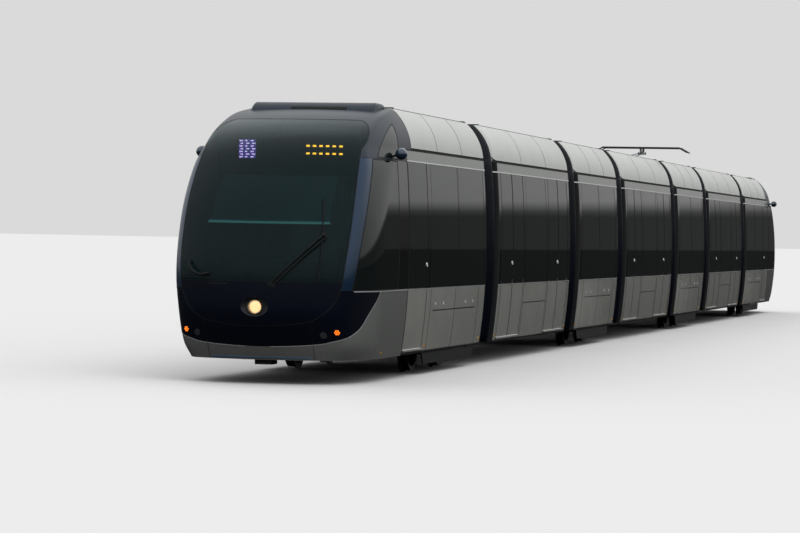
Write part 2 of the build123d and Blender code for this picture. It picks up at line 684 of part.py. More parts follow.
def nose_section(row, inset):
    """A level cut through the nose, inset by a wall thickness: front, corner and side arcs."""
    z, set_back_at_middle, corner, side_from = row
    wide = half_width(z)
    front = Vector(CAB_LENGTH - set_back_at_middle - FRONT_RADIUS, 0)
    side = Vector(CAB_LENGTH - side_from, wide - SIDE_RADIUS)
    near, far = FRONT_RADIUS - corner, SIDE_RADIUS - corner
    gap = side - front
    reach = (gap.length**2 + near**2 - far**2) / (2 * gap.length)
    rise = math.sqrt(near**2 - reach**2)
    along = gap.normalized()
    middle = front + along * reach + Vector(-along.Y, along.X) * rise
    turn_1 = math.atan2((middle - front).Y, (middle - front).X)
    turn_2 = math.atan2((middle - side).Y, (middle - side).X)

    def point(centre, radius, turn):
        return (centre.X + (radius - inset) * math.cos(turn),
                centre.Y + (radius - inset) * math.sin(turn))

    def flip(place):
        return (place[0], -place[1])

    tip = point(front, FRONT_RADIUS, 0)
    joint_1 = point(middle, corner, turn_1)
    bend_1 = point(middle, corner, (turn_1 + turn_2) / 2)
    joint_2 = point(middle, corner, turn_2)
    bend_2 = point(side, SIDE_RADIUS, (turn_2 + math.pi / 2) / 2)
    start = point(side, SIDE_RADIUS, math.pi / 2)
    back = (CAB_LENGTH - NOSE_BACK, wide - inset)
    outline = Curve() + [
        ThreePointArc(flip(joint_1), tip, joint_1),
        ThreePointArc(joint_1, bend_1, joint_2),
        ThreePointArc(joint_2, bend_2, start),
        Line(start, back),
        Line(back, flip(back)),
        Line(flip(back), flip(start)),
        ThreePointArc(flip(start), flip(bend_2), flip(joint_2)),
        ThreePointArc(flip(joint_2), flip(bend_1), flip(joint_1)),
    ]
    drop = inset * set_back_at_middle / NOSE_SECTIONS[-1][1]
    return Pos(0, 0, z - drop) * make_face(outline)


def nose_side(z):
    """Half width of the nose's flat sides at a height, between two of its sections."""
    rows = [row[0] for row in NOSE_SECTIONS]
    above = next(index for index, height in enumerate(rows) if height > z)
    low, high = rows[above - 1], rows[above]
    return half_width(low) + (half_width(high) - half_width(low)) * (z - low) / (high - low)


def nose_form(inset):
    """The solid form of the nose, smaller all round by an inset."""
    return loft([nose_section(row, inset) for row in NOSE_SECTIONS], ruled=True)


def behind_nose(side_end, roof_end):
    """What the cab car itself takes up behind the nose."""
    back, wide, above = CAB_LENGTH - NOSE_BACK - 10, HALF_WIDTH + 50, ROOF_TOP + 50
    return (block(back, side_end, -wide, wide, 0, WALL_TOP)
            + block(back, roof_end, -wide, wide, WALL_TOP, above))


def mask_prism(inset):
    """The mask's outline as a bar through the front of the nose."""
    points = [(y + inset * dy, z + inset * dz) for y, z, dy, dz in MASK_EDGE]
    arcs = [ThreePointArc(*points[first:first + 3]) for first in (0, 2, 4, 6)]
    outline = mirrored_face(arcs + [Line(points[8], points[9])])
    return along_x(outline, CAB_SIDE_END, CAB_LENGTH + 10)


def pane_prism(table, inset):
    """A side pane's outline as a bar through both sides of the nose."""
    points = [(CAB_LENGTH - back - inset * pull, z + inset * lift) for back, z, pull, lift in table]
    edges = [ThreePointArc(*points[:3])]
    edges += [Line(start, end) for start, end in zip(points[2:], points[3:] + points[:1])]
    return extrude(Plane.XZ * make_face(Curve() + edges), HALF_WIDTH + 20, both=True)


def nose_panels(shell):
    """The shell split where its moulded panels meet: tub, two pillars and crown."""
    low, wide, above = CAB_LENGTH - NOSE_BACK, HALF_WIDTH + 50, ROOF_TOP + 50
    tip = CAB_LENGTH + 10
    sill = SCREEN_FOOT + SCREEN_LIP
    tub_zone = block(low, tip, -wide, wide, 0, WAIST) + block(low, tip, -POST, POST, WAIST, sill)
    pillar_zone = block(low, tip, -wide, wide, WAIST + NOSE_JOINT, NOSE_SPLIT)
    pillar_zone -= block(low, tip, -POST - NOSE_JOINT, POST + NOSE_JOINT, WAIST, sill + NOSE_JOINT)
    crown_zone = block(low, tip, -wide, wide, NOSE_SPLIT + NOSE_JOINT, above)
    return [shell & zone for zone in (tub_zone, pillar_zone, crown_zone)]


def make_nose():
    """The nose's panels, its panes, and the mask and lamps in its front."""
    outer = nose_form(0)
    inner = nose_form(NOSE_SHELL) & block(0, CAB_LENGTH, -HALF_WIDTH, HALF_WIDTH, FLOOR, ROOF_TOP)
    cut_back = behind_nose(CAB_SIDE_END, CAB_ROOF_END)
    shell = outer - inner - cut_back
    near, far, half, foot = TOW_BRACKET
    shell += block(CAB_LENGTH - far, CAB_LENGTH - near, -half, half, foot, SILL)
    bore_back, radius, depth = TOW_BORE
    shell -= rod_z(CAB_LENGTH - bore_back, 0, radius, foot - 1, foot + depth)

    skin = outer - nose_form(PANE) - cut_back
    rebate = outer - nose_form(PANE + PANE_SEAT) - cut_back
    sill = SCREEN_FOOT + SCREEN_LIP
    front = block(CAB_SIDE_END, CAB_LENGTH + 20, -HALF_WIDTH, HALF_WIDTH, sill, ROOF_TOP)
    shell -= rebate & mask_prism(0)
    shell -= mask_prism(SCREEN_LIP) & front
    glass = [skin & mask_prism(PANE_GAP) & front.moved(Pos(0, 0, -SCREEN_LIP))]
    for table in (SIDE_PANE, QUARTER_PANE):
        shell -= rebate & pane_prism(table, 0)
        shell -= pane_prism(table, SCREEN_LIP)
        glass += (skin & pane_prism(table, PANE_GAP)).solids()
    mask = skin & mask_prism(PANE_GAP)
    mask &= block(0, CAB_LENGTH + 20, -HALF_WIDTH, HALF_WIDTH, 0, SCREEN_FOOT - PANE_GAP)
    lamps = []
    for y, z, radius, back in LAMPS:
        place = Pos(CAB_LENGTH - back, y, z) * Rot(0, 90, 0)
        grow = (Align.CENTER, Align.CENTER, Align.MIN)
        lamps.append(place * Cylinder(radius, back + 10, align=grow) & outer)
        hole = place * Cylinder(radius + LAMP_GAP, back + 10, align=grow)
        shell -= hole
        mask -= hole
    return nose_panels(shell), glass, lamps + [mask]


def make_fittings():
    """Rear-view cameras and the hood over the cab."""
    back, y, z = CAMERA
    shell = revolve(Plane.XY * make_face(Polyline(*CAMERA_PROFILE, close=True)), Axis.X)
    camera = Pos(CAB_LENGTH - back, y, z) * shell
    foot, radius = CAMERA_ARM
    camera += rod_y(CAB_LENGTH - foot, z, radius, nose_side(z - radius) + PANE_SEAT, y)
    camera += bar((CAB_LENGTH - foot, y, z), (CAB_LENGTH - back, y, z), radius)
    camera += rod_y(CAB_LENGTH - foot, z, radius, y - radius, y + radius)
    hood = profile(set_back(HOOD_PROFILE), -HOOD_HALF_WIDTH, HOOD_HALF_WIDTH)
    tops = [edge for edge in hood.edges()
            if abs(edge.center().Y) > HOOD_HALF_WIDTH - 1 and edge.center().Z > HOOD_PROFILE[0][1] + 1
            and edge.bounding_box().size.X > 1]
    hood = chamfer(tops, HOOD_BEVEL) - nose_form(-PANE_SEAT)
    return [camera, mirror(camera, about=Plane.XZ), hood]


def make_pantograph():
    """Base, lower arm, upper arm and head, folded."""
    px, pz = BASE_PIVOT
    x0, x1, half, rail, z0, z1 = BASE_FRAME
    base = block(x0, x1, -half, half, z0, z1) - block(x0 + rail, x1 - rail, rail - half, half - rail,
                                                      z0 - 1, z1 + 1)
    ribs = [(radius, DECK + height) for radius, height in INSULATOR]
    ribs = [(0, DECK)] + ribs + [(ribs[-1][0], z0), (0, z0)]
    insulator = revolve(Plane.XZ * make_face(Polyline(*ribs, close=True)), Axis.Z)
    for x in INSULATORS:
        base += both_sides(Pos(x, half - rail / 2, 0) * insulator)
    radius, y0, y1 = LUG
    base += both_sides(block(px - radius, px + radius, y0, y1, z0, pz) + rod_y(px, pz, radius, y0, y1))
    base += both_sides(block(px - radius, px + radius, y1, half, z0, z1))
    base += rod_y(px, pz, BASE_PIN, -y1, y1)

    boss, length = LOWER_BOSS
    knee, inside, outside = KNEE_BOSS
    lower = rod_y(px, pz, boss, -length, length)
    lower += bar((px, 0, pz), (KNEE[0], 0, KNEE[1]), LOWER_TUBE)
    lower += rod_y(*KNEE, knee, -inside, inside)
    lower -= rod_y(px, pz, BASE_PIN + PIN_CLEARANCE, -length - 1, length + 1)
    lower -= rod_y(*KNEE, ARM_PIN + PIN_CLEARANCE, -inside - 1, inside + 1)

    tube, apart = UPPER_TUBE
    boss, length = HEAD_BOSS
    upper = rod_y(*KNEE, ARM_PIN, -outside, outside) + rod_y(*HEAD_PIVOT, HEAD_PIN, -outside, outside)
    for y in (-apart, apart):
        upper += rod_y(*KNEE, knee, y - PLATE, y + PLATE) + rod_y(*HEAD_PIVOT, boss, y - PLATE, y + PLATE)
        upper += bar((KNEE[0], y, KNEE[1]), (HEAD_PIVOT[0], y, HEAD_PIVOT[1]), tube)

    hx, hz = HEAD_PIVOT
    wide, low, high = CARRIER
    head = rod_y(hx, hz, boss, -length, length)
    head += block(hx - STRIP_SPACING / 2, hx + STRIP_SPACING / 2, -wide, wide, hz + low, hz + high)
    strip, height = STRIP
    radius, start, out, down = HORN
    for x in (hx - STRIP_SPACING / 2, hx + STRIP_SPACING / 2):
        head += block(x - low, x + low, -wide, wide, hz + low, hz + STRIP_RISE)
        head += block(x - strip, x + strip, -STRIP_HALF_LENGTH, STRIP_HALF_LENGTH, hz + STRIP_RISE,
                      hz + STRIP_RISE + height)
        top = hz + STRIP_RISE + radius
        head += both_sides(bar((x, STRIP_HALF_LENGTH - start, top),
                               (x, STRIP_HALF_LENGTH + out, top - down), radius))
    head -= rod_y(hx, hz, HEAD_PIN + PIN_CLEARANCE, -length - 1, length + 1)
    return base, lower, upper, head


def save(name, shapes, x=0, turned=False, surface_curves=True):
    """Write one sub-part, placed along the tram and turned to face backwards where it does."""
    if not isinstance(shapes, list):
        shapes = [shapes]
    solids = [solid for shape in shapes for solid in shape.solids()]
    place = Pos(x, 0, 0) * Rot(0, 0, 180 if turned else 0)
    placed = Compound(children=[place * solid for solid in solids])
    export_step(placed, f"parts/{name}.step", write_pcurves=surface_curves)


def main():
    os.makedirs("parts", exist_ok=True)
    kinds = ("suspended", "bogie", "cab")
    bodies = {kind: make_body(kind) for kind in kinds}
    roofs = {kind: make_roof(kind) for kind in kinds}
    doors = {kind: make_doors(kind) for kind in kinds}
    panes = {kind: make_panes(kind) for kind in kinds}
    seats = {kind: make_seats(kind) for kind in kinds}
    panels, nose_glass, nose_front = make_nose()
    panes["cab"] += nose_glass
    seats["cab"] += make_cab_inside()
    fittings = nose_front + make_fittings()

    for number, kind, x, turned in CARS:
        save(f"body_{number}", bodies[kind], x, turned)
        save(f"roof_{number}", roofs[kind], x, turned)
        save(f"glazing_{number}", panes[kind], x, turned)
        save(f"seats_{number}", seats[kind], x, turned)
        if doors[kind]:
            save(f"doors_{number}", doors[kind], x, turned)
    for name, number in (("front", 0), ("rear", -1)):
        _, _, x, turned = CARS[number]
        # This far from the origin, the curves of edges on lofted faces lose their precision
        save(f"{name}_nose", panels, x, turned, surface_curves=False)
        save(f"{name}_fittings", fittings, x, turned)
    for number, x, pin_ahead in PIVOTS:
        save(f"gangway_{number}", make_bellows(pin_ahead), x)

    wheelset, bogie = make_wheelset(), make_bogie()
    for index, x in enumerate(BOGIES):
        save(f"bogie_{index + 1}", bogie, x)
        save(f"wheelset_{2 * index + 1}", wheelset, x + WHEELBASE / 2)
        save(f"wheelset_{2 * index + 2}", wheelset, x - WHEELBASE / 2)

    names = ("base", "lower_arm", "upper_arm", "head")
    for name, shape in zip(names, make_pantograph()):
        save(f"pantograph_{name}", shape, CARS[4][2])


if __name__ == "__main__":
    main()
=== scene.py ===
import math

import bmesh
import bpy
import numpy as np
from mathutils import Matrix, Vector
from mathutils.geometry import delaunay_2d_cdt


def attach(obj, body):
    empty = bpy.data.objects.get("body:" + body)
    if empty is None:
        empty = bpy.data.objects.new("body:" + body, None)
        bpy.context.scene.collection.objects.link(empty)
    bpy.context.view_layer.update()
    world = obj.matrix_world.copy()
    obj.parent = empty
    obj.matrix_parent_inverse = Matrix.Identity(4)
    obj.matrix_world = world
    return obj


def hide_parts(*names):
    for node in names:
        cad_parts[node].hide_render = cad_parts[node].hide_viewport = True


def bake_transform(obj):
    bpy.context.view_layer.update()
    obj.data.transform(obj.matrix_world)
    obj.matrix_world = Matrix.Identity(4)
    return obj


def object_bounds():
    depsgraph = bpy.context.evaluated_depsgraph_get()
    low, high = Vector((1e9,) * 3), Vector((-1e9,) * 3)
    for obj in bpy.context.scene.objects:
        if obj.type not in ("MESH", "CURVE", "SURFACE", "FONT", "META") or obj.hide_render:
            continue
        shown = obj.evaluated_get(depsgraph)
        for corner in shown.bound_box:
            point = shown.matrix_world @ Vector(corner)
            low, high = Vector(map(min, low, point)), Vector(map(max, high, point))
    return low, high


bl_info = {
    "name": "Seven-section tram",
    "version": (1, 0, 0),
    "blender": (4, 5, 0),
    "location": "View3D > Sidebar > Tram",
    "description": "Dresses the packed tram: nose, glazing, doors, bellows, roof, bogies and stage",
    "category": "Object",
}

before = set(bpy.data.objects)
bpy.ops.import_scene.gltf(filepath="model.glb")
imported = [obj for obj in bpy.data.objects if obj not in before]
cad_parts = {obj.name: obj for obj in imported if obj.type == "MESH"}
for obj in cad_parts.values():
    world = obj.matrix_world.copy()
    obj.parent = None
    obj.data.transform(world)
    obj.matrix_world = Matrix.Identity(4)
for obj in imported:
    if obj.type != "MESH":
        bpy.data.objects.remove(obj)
CAD_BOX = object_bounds()

# Sizes are the model's own, in millimetres; the model is half of full size
MM = 0.001
TINY, WELD = 1e-9, 0.00001                          # least divisor; points this near are one
NOSE_TIP = round(CAD_BOX[1][0] / MM, 2)
PIVOT_1, PIVOT_2, PIVOT_3 = 1605, 3935, 7145
CAB_LENGTH = NOSE_TIP - PIVOT_3
END_GAP = 175
BODY_END = {"suspended": 1430, "bogie": 990, "cab": 2505}   # from the car's centre or pivot
CARS = [
    # number, kind, centre or pivot, whether it faces backwards
    (1, "cab", PIVOT_3, False),
    (2, "suspended", (PIVOT_2 + PIVOT_3) / 2, False),
    (3, "bogie", (PIVOT_1 + PIVOT_2) / 2, False),
    (4, "suspended", 0, False),
    (5, "bogie", -(PIVOT_1 + PIVOT_2) / 2, True),
    (6, "suspended", -(PIVOT_2 + PIVOT_3) / 2, True),
    (7, "cab", -PIVOT_3, True),
]
CAR = {number: (kind, x, turned) for number, kind, x, turned in CARS}
PIVOTS = [(1, PIVOT_3), (2, PIVOT_2), (3, PIVOT_1), (4, -PIVOT_1), (5, -PIVOT_2), (6, -PIVOT_3)]
ENDS = [("front", 1), ("rear", 7)]

SILL, WAIST, WINDOW_TOP, WALL_TOP, ROOF_FOOT, ROOF_TOP, DECK = 142, 547, 1317, 1390, 1402, 1642, 1480
DOOR_FOOT, DOOR_TOP, FLOOR = 172, 1330, 187
WINDOWS = {"suspended": [(-390, 390)], "bogie": [(-800, -12), (12, 800)],
           "cab": [(295, 1075.5), (1099.5, 1880)]}
# Door openings: where each begins and ends, and its number of leaves
DOORWAYS = {"suspended": [(-1285, -485, 2), (485, 1285, 2)], "bogie": [], "cab": [(1985, 2495, 1)]}
CAB_DOOR_PANE, LOCK_Z = (2001.5, 2478.5), 690       # between its edges; height of the door locks
FANS = {"suspended": [-975, -425, 425, 975], "bogie": [], "cab": [645, 1175, 1840]}
FAN_TOP, LOW_FAN_TOP, FAN_HALF = 1610, 1600, 118
# Covers on the roof deck: where each begins and ends, and half its width
ROOF_UNITS = {"suspended": [(-1250, -150, 330), (150, 1250, 330)],
              "bogie": [(-860, -640, 300), (640, 860, 300)],
              "cab": [(380, 1440, 330), (1560, 2120, 320)]}
BOGIE_PLACE = 1140                                  # of a cab's bogie, from its pivot
BOGIES = [PIVOT_3 + BOGIE_PLACE, (PIVOT_1 + PIVOT_2) / 2, -(PIVOT_1 + PIVOT_2) / 2, -PIVOT_3 - BOGIE_PLACE]
WHEEL_HEIGHT, WHEELBASE = 159.5, 800
# A side is two arcs that meet at the belt, and a cove one arc round a centre
BELT, HALF_WIDTH, UPPER_RADIUS, LOWER_RADIUS = 750, 600, 6500.0, 4450.0
COVE_Y, COVE_Z, COVE_RADIUS = 206, 1367, 360
END_ROUNDING, END_BAND = 45, 46      # radius of a car's upright edges, width of the black band on them
JOINT, GLASS_THICK, GLASS_GAP = 3, 8, 1.5

# Nose: height, set-back from the tip, radius of the corners, where the sides begin to curve
NOSE_ROWS = np.array([
    (142, 140, 150, 831), (237, 80, 150, 711), (440, 2, 150, 657), (593, 0, 150, 637),
    (941, 105, 150, 696), (1250, 300, 100, 876), (1402, 464, 60, 1085), (1540, 775, 60, 1290),
    (1630, 1240, 60, 1450), (1642, 1450, 60, 1600),
], float)
FRONT_RADIUS, SIDE_RADIUS = 900, 1400
SIDE_END, ROOF_END = 1270, 1420      # set-back of the nose's joint with the side and with the roof
NOSE_SPLIT = 1315
COVE_FROM, COVE_TO = 1340, 1645
SCREEN_FOOT = 592
PANE_END = 1017                      # set-back where the side panes end
HEADLIGHT_Z, DISPLAY_TOP = 447, 1425
MARKER, REFLECTOR = (447, 308), (375, 290)                    # y and z of the front's round lamps
CAMERA_BACK, CAMERA_Y, CAMERA_Z = 941, 617, 1352
MASK_EDGE = [(0, 337, 0, 1), (150, 344, 0, 1), (300, 364, -0.2, 1), (431, 462, -0.8, 0.6),
             (478, 580, -1, 0), (497, 1050, -1, 0), (472, 1365, -1, 0), (436, 1519, -0.8, -0.6),
             (380, 1547, 0, -1), (0, 1547, 0, -1)]   # y, z, and their moves for 1 mm of inset
SIDE_PANE = [(196, 547, 1.1, 1), (306, 850, 0.9, 0), (593, 1309, 1.5, -1), (1020, 1309, -1, -1),
             (1020, 547, -1, 1)]                     # set-back, z, and their moves
QUARTER_PANE = [(664, 1322, 2.5, 1), (860, 1442, 0.5, -0.9), (1118, 1537, -0.6, -2.2),
                (1058, 1322, -1.1, 1)]
PANES = [(table, sign) for table in (SIDE_PANE, QUARTER_PANE) for sign in (1, -1)]


def linear(colour):
    """An sRGB hex colour as linear red, green, blue and alpha."""
    channels = [int(colour[place:place + 2], 16) / 255 for place in (1, 3, 5)]
    return [c / 12.92 if c <= 0.04045 else ((c + 0.055) / 1.055)**2.4 for c in channels] + [1.0]


def add(tree, kind, settings, inputs):
    """Add a node with its settings, and set or link its inputs."""
    new = tree.nodes.new(kind)
    for name, value in settings.items():
        setattr(new, name, value)
    for name, value in inputs.items():
        if isinstance(value, bpy.types.NodeSocket):
            tree.links.new(value, new.inputs[name])
        else:
            new.inputs[name].default_value = value
    return new


# Each finish: colour, metallic, roughness, coat, mottle (grain in mm, how much darker), and
# relief (grain in mm, height in mm, stretch along x). The comment says what it gives the eye
FINISHES = {
    # Two-pack metallic silver under a clear coat, sprayed: soft sheen with a sharp reflection
    "metallic_silver_paint": ("#b9bab4", 0.15, 0.26, 0.8, (260, 0.10), (150, 0.5, 4)),
    # The same paint on the glass-fibre coves, made paler as painted sky light because they face the sky, and
    # flatter
    "sky_lit_cove_paint": ("#c9cdc8", 0.15, 0.38, 0.4, (300, 0.06), None),
    # Grey metallic paint of the band over the windows: soft, a shade darker than the sides
    "grey_band_paint": ("#80857f", 0.35, 0.32, 0.6, (260, 0.08), None),
    # Midnight-blue gelcoat on a moulded glass-fibre nose: near black with a wet shine
    "midnight_gelcoat": ("#080e1b", 0.0, 0.16, 0.5, (200, 0.15), None),
    # Blue-silver metallic on the pillars: deep blue that lights up where it turns to the sky
    "blue_silver_paint": ("#14304a", 0.5, 0.28, 0.3, (240, 0.08), None),
    # The sides' silver, made darker round the foot of the nose as painted shade: the shadow there and the dark
    # ground it mirrors
    "shaded_silver_paint": ("#868986", 0.15, 0.26, 0.8, (260, 0.10), (150, 0.5, 4)),
    # Slate metallic without a clear coat on the crown and hood: matt, so that the sky doesn't bleach it
    "crown_silver_paint": ("#2b343e", 0.2, 0.34, 0.0, (240, 0.08), None),
    # Black ceramic print behind bonded glass: flat black under a glossy face
    "black_bonded_glass": ("#07090b", 0.0, 0.05, 0.0, None, None),
    # EPDM rubber seals, extruded: matt and faintly grainy
    "epdm_rubber": ("#15171a", 0.0, 0.68, 0.0, (4, 0.25), (2.5, 0.10, 1)),
    # Stainless steel, brushed along the tram: bright, with long soft streaks
    "brushed_stainless_steel": ("#eef0ef", 0.5, 0.27, 0.0, (6, 0.08), (1.6, 0.04, 30)),
    # Black anodised aluminium gutters and frames: dark with a dull metal edge
    "black_anodised_aluminium": ("#26282a", 0.6, 0.42, 0.0, (40, 0.10), None),
    # Galvanised sheet on the roof deck: dull, spangled
    "galvanised_deck_sheet": ("#74777a", 0.7, 0.55, 0.0, (28, 0.22), (28, 0.15, 1)),
    # Powder coat on the covers of the roof units: pale, with a fine orange-peel grain
    "powder_coated_cover": ("#9b9e9a", 0.1, 0.5, 0.0, (120, 0.12), (2, 0.06, 1)),
    # Cast and welded steel under grey primer, with brake dust: dark, blotchy and dull
    "primed_cast_steel": ("#2f3131", 0.25, 0.62, 0.0, (70, 0.35), (5, 0.35, 1)),
    # Rolled steel wheel: bright turned metal, faintly mottled
    "rolled_wheel_steel": ("#8d8a86", 1.0, 0.34, 0.0, (22, 0.15), (3, 0.05, 1)),
    # Polyester cloth coated with rubber for the bellows: blue-black, satin, uneven along the pleats
    "coated_bellows_cloth": ("#050914", 0.0, 0.28, 0.0, (90, 0.18), (3, 0.1, 1)),
    # High-pressure laminate of the lining: warm grey, smooth
    "lining_laminate": ("#b9b6aa", 0.0, 0.42, 0.1, (3, 0.05), None),
    # Rubber floor with mineral chips: dull and speckled
    "chipped_rubber_floor": ("#3d4144", 0.0, 0.66, 0.0, (5, 0.45), (2, 0.08, 1)),
    # Wool moquette, woven in a plain fleck: deep, soft blue
    "wool_moquette": ("#2a3a55", 0.0, 0.92, 0.0, (6, 0.5), (3, 0.5, 1)),
    # ABS mouldings of the desk and seat shells: charcoal with a leather grain
    "grained_abs": ("#24272a", 0.0, 0.55, 0.0, (8, 0.12), (3, 0.15, 1)),
    # Gloss paint of the camera housings: blue with one sharp highlight
    "housing_gloss_paint": ("#26384c", 0.3, 0.14, 1.0, None, None),
    # Sintered carbon of the contact strips: sooty black
    "sintered_carbon": ("#232323", 0.1, 0.6, 0.0, (3, 0.3), (2, 0.1, 1)),
    # Silicone rubber of the insulators: smooth iron-oxide red
    "silicone_insulator": ("#6d3b2c", 0.0, 0.5, 0.1, None, None),
    # Painted steel tube of the pantograph: mid grey, half gloss
    "pantograph_paint": ("#777b7c", 0.3, 0.42, 0.2, (40, 0.12), None),
    # Blind cloth: pale and dull, the lightest thing behind the screen
    "blind_cloth": ("#dfeef2", 0.0, 0.85, 0.0, (3, 0.1), None),
    # Retro-reflector of moulded acrylic prisms over grey: dim with a fine sparkle
    "grey_prism_reflector": ("#4a4f54", 0.3, 0.3, 0.5, (3, 0.4), (3, 0.3, 1)),
    # Amber acrylic of the side markers: clear orange-yellow, glossy
    "amber_acrylic": ("#e0a51c", 0.0, 0.22, 0.6, None, None),
    # Vacuum-aluminised bowl of the headlight: a warm mirror
    "aluminised_bowl": ("#e6e0d2", 1.0, 0.1, 0.0, None, None),
    # Painted highlight: a pale blue strip under the nose that stands for one light line along the foot
    "painted_highlight_trim": ("#5c7f9c", 0.2, 0.35, 0.4, None, None),
}
# Finishes whose mirror reflection is weaker than a smooth plastic's, and its share
SATIN = {"coated_bellows_cloth": 0.15, "crown_silver_paint": 0.4, "epdm_rubber": 0.5}
# Lit diodes and lamps, and the painted glow of the blind's edge: colour, strength
LIGHTS = {
    # Marker diodes of the front: small orange points
    "marker_diode": ("#ff7414", 1.5),
    # Amber diodes of the destination display: the brightest dots, two rows behind dark glass
    "amber_diode": ("#ff8420", 40.0),
    # Violet diodes of the line display: an even, calm block
    "violet_diode": ("#d07cff", 1.3),
    # Pinkish white diodes over the violet: dashes that stand out from the block
    "white_diode": ("#ffb4c0", 16.0),
    # Painted glow along the blind's lower edge, which holds no lamp: a thin pale green line
    "glowing_blind_edge": ("#b9eae2", 1.0),
    # Warm white headlight lamp, dimmed: a cream disc
    "warm_lamp": ("#ffd9a0", 1.25),
    # Red diodes of the rear: small deep red points
    "red_diode": ("#c8281e", 1.4),
}
# Glass: colour, share of light let through, refractive index (low under an anti-glare film)
GLASSES = {
    # Toughened side glass, tinted in the mass: dark, with sharp reflections
    "tinted_side_glass": ("#1b2221", 0.42, 1.4),
    # Laminated windscreen: a green-blue tint that lets the desk, blind and displays be seen
    "tinted_windscreen": ("#38585c", 0.9, 1.18),
    # Clear polycarbonate lens: a bright rim over the lamp
    "clear_lens": ("#f2f0ea", 0.95, 1.49),
}
# Finishes whose colour is one of the settings
CHOSEN = {"metallic_silver_paint": "side_colour", "midnight_gelcoat": "front_colour",
          "wool_moquette": "seat_colour"}


def finish_material(name):
    """The material of a name in one of the tables above, made once."""
    if name in bpy.data.materials:
        return bpy.data.materials[name]
    material = bpy.data.materials.new(name)
    material.use_nodes = True
    tree = material.node_tree
    shader = tree.nodes["Principled BSDF"].inputs

    def give(values):
        for socket, value in values.items():
            shader[socket].default_value = value

    if name in LIGHTS:
        colour, strength = LIGHTS[name]
        give({"Base Color": linear(colour), "Emission Color": linear(colour), "Emission Strength": strength})
        return material
    if name in GLASSES:
        colour, share, bend = GLASSES[name]
        give({"Base Color": linear(colour), "Roughness": 0.03, "IOR": bend, "Transmission Weight": share})
        return material
    colour, metallic, roughness, coat, mottle, relief = FINISHES[name]
    tint = linear(colour)
    if name in CHOSEN:
        tint = [*getattr(bpy.context.scene.tram, CHOSEN[name]), 1.0]
    give({"Base Color": tint, "Metallic": metallic, "Roughness": roughness, "Coat Weight": coat,
          "Coat Roughness": 0.06, "Specular IOR Level": 0.5 * SATIN.get(name, 1.0)})
    place = add(tree, "ShaderNodeTexCoord", {}, {}).outputs["Object"]
    if mottle:
        grain, depth = mottle
        cloud = add(tree, "ShaderNodeTexNoise", {}, {"Vector": place, "Scale": 1 / (grain * MM), "Detail": 3.0})
        ramp = add(tree, "ShaderNodeMapRange", {}, {
            "Value": cloud.outputs["Fac"], "From Min": 0.3, "From Max": 0.7,
            "To Min": 1 - depth, "To Max": 1.0})
        mixed = add(tree, "ShaderNodeVectorMath", {"operation": "SCALE"}, {
            0: tint[:3], "Scale": ramp.outputs["Result"]})
        tree.links.new(mixed.outputs[0], shader["Base Color"])
    if relief:
        grain, height, stretch = relief
        long = add(tree, "ShaderNodeMapping", {}, {"Vector": place, "Scale": (1 / stretch, 1.0, 1.0)})
        rough = add(tree, "ShaderNodeTexNoise", {}, {
            "Vector": long.outputs[0], "Scale": 1 / (grain * MM), "Detail": 2.0})
        bump = add(tree, "ShaderNodeBump", {}, {
            "Height": rough.outputs["Fac"], "Distance": height * MM, "Strength": 0.6})
        tree.links.new(bump.outputs["Normal"], shader["Normal"])
    return material


def turns(count):
    """Equal turns round a circle."""
    return [2 * math.pi * step / count for step in range(count)]


def ring(centre, side, up, radius, sides):
    """Points of a circle round a centre, from its two directions."""
    return [centre + (side * math.cos(turn) + up * math.sin(turn)) * radius for turn in turns(sides)]


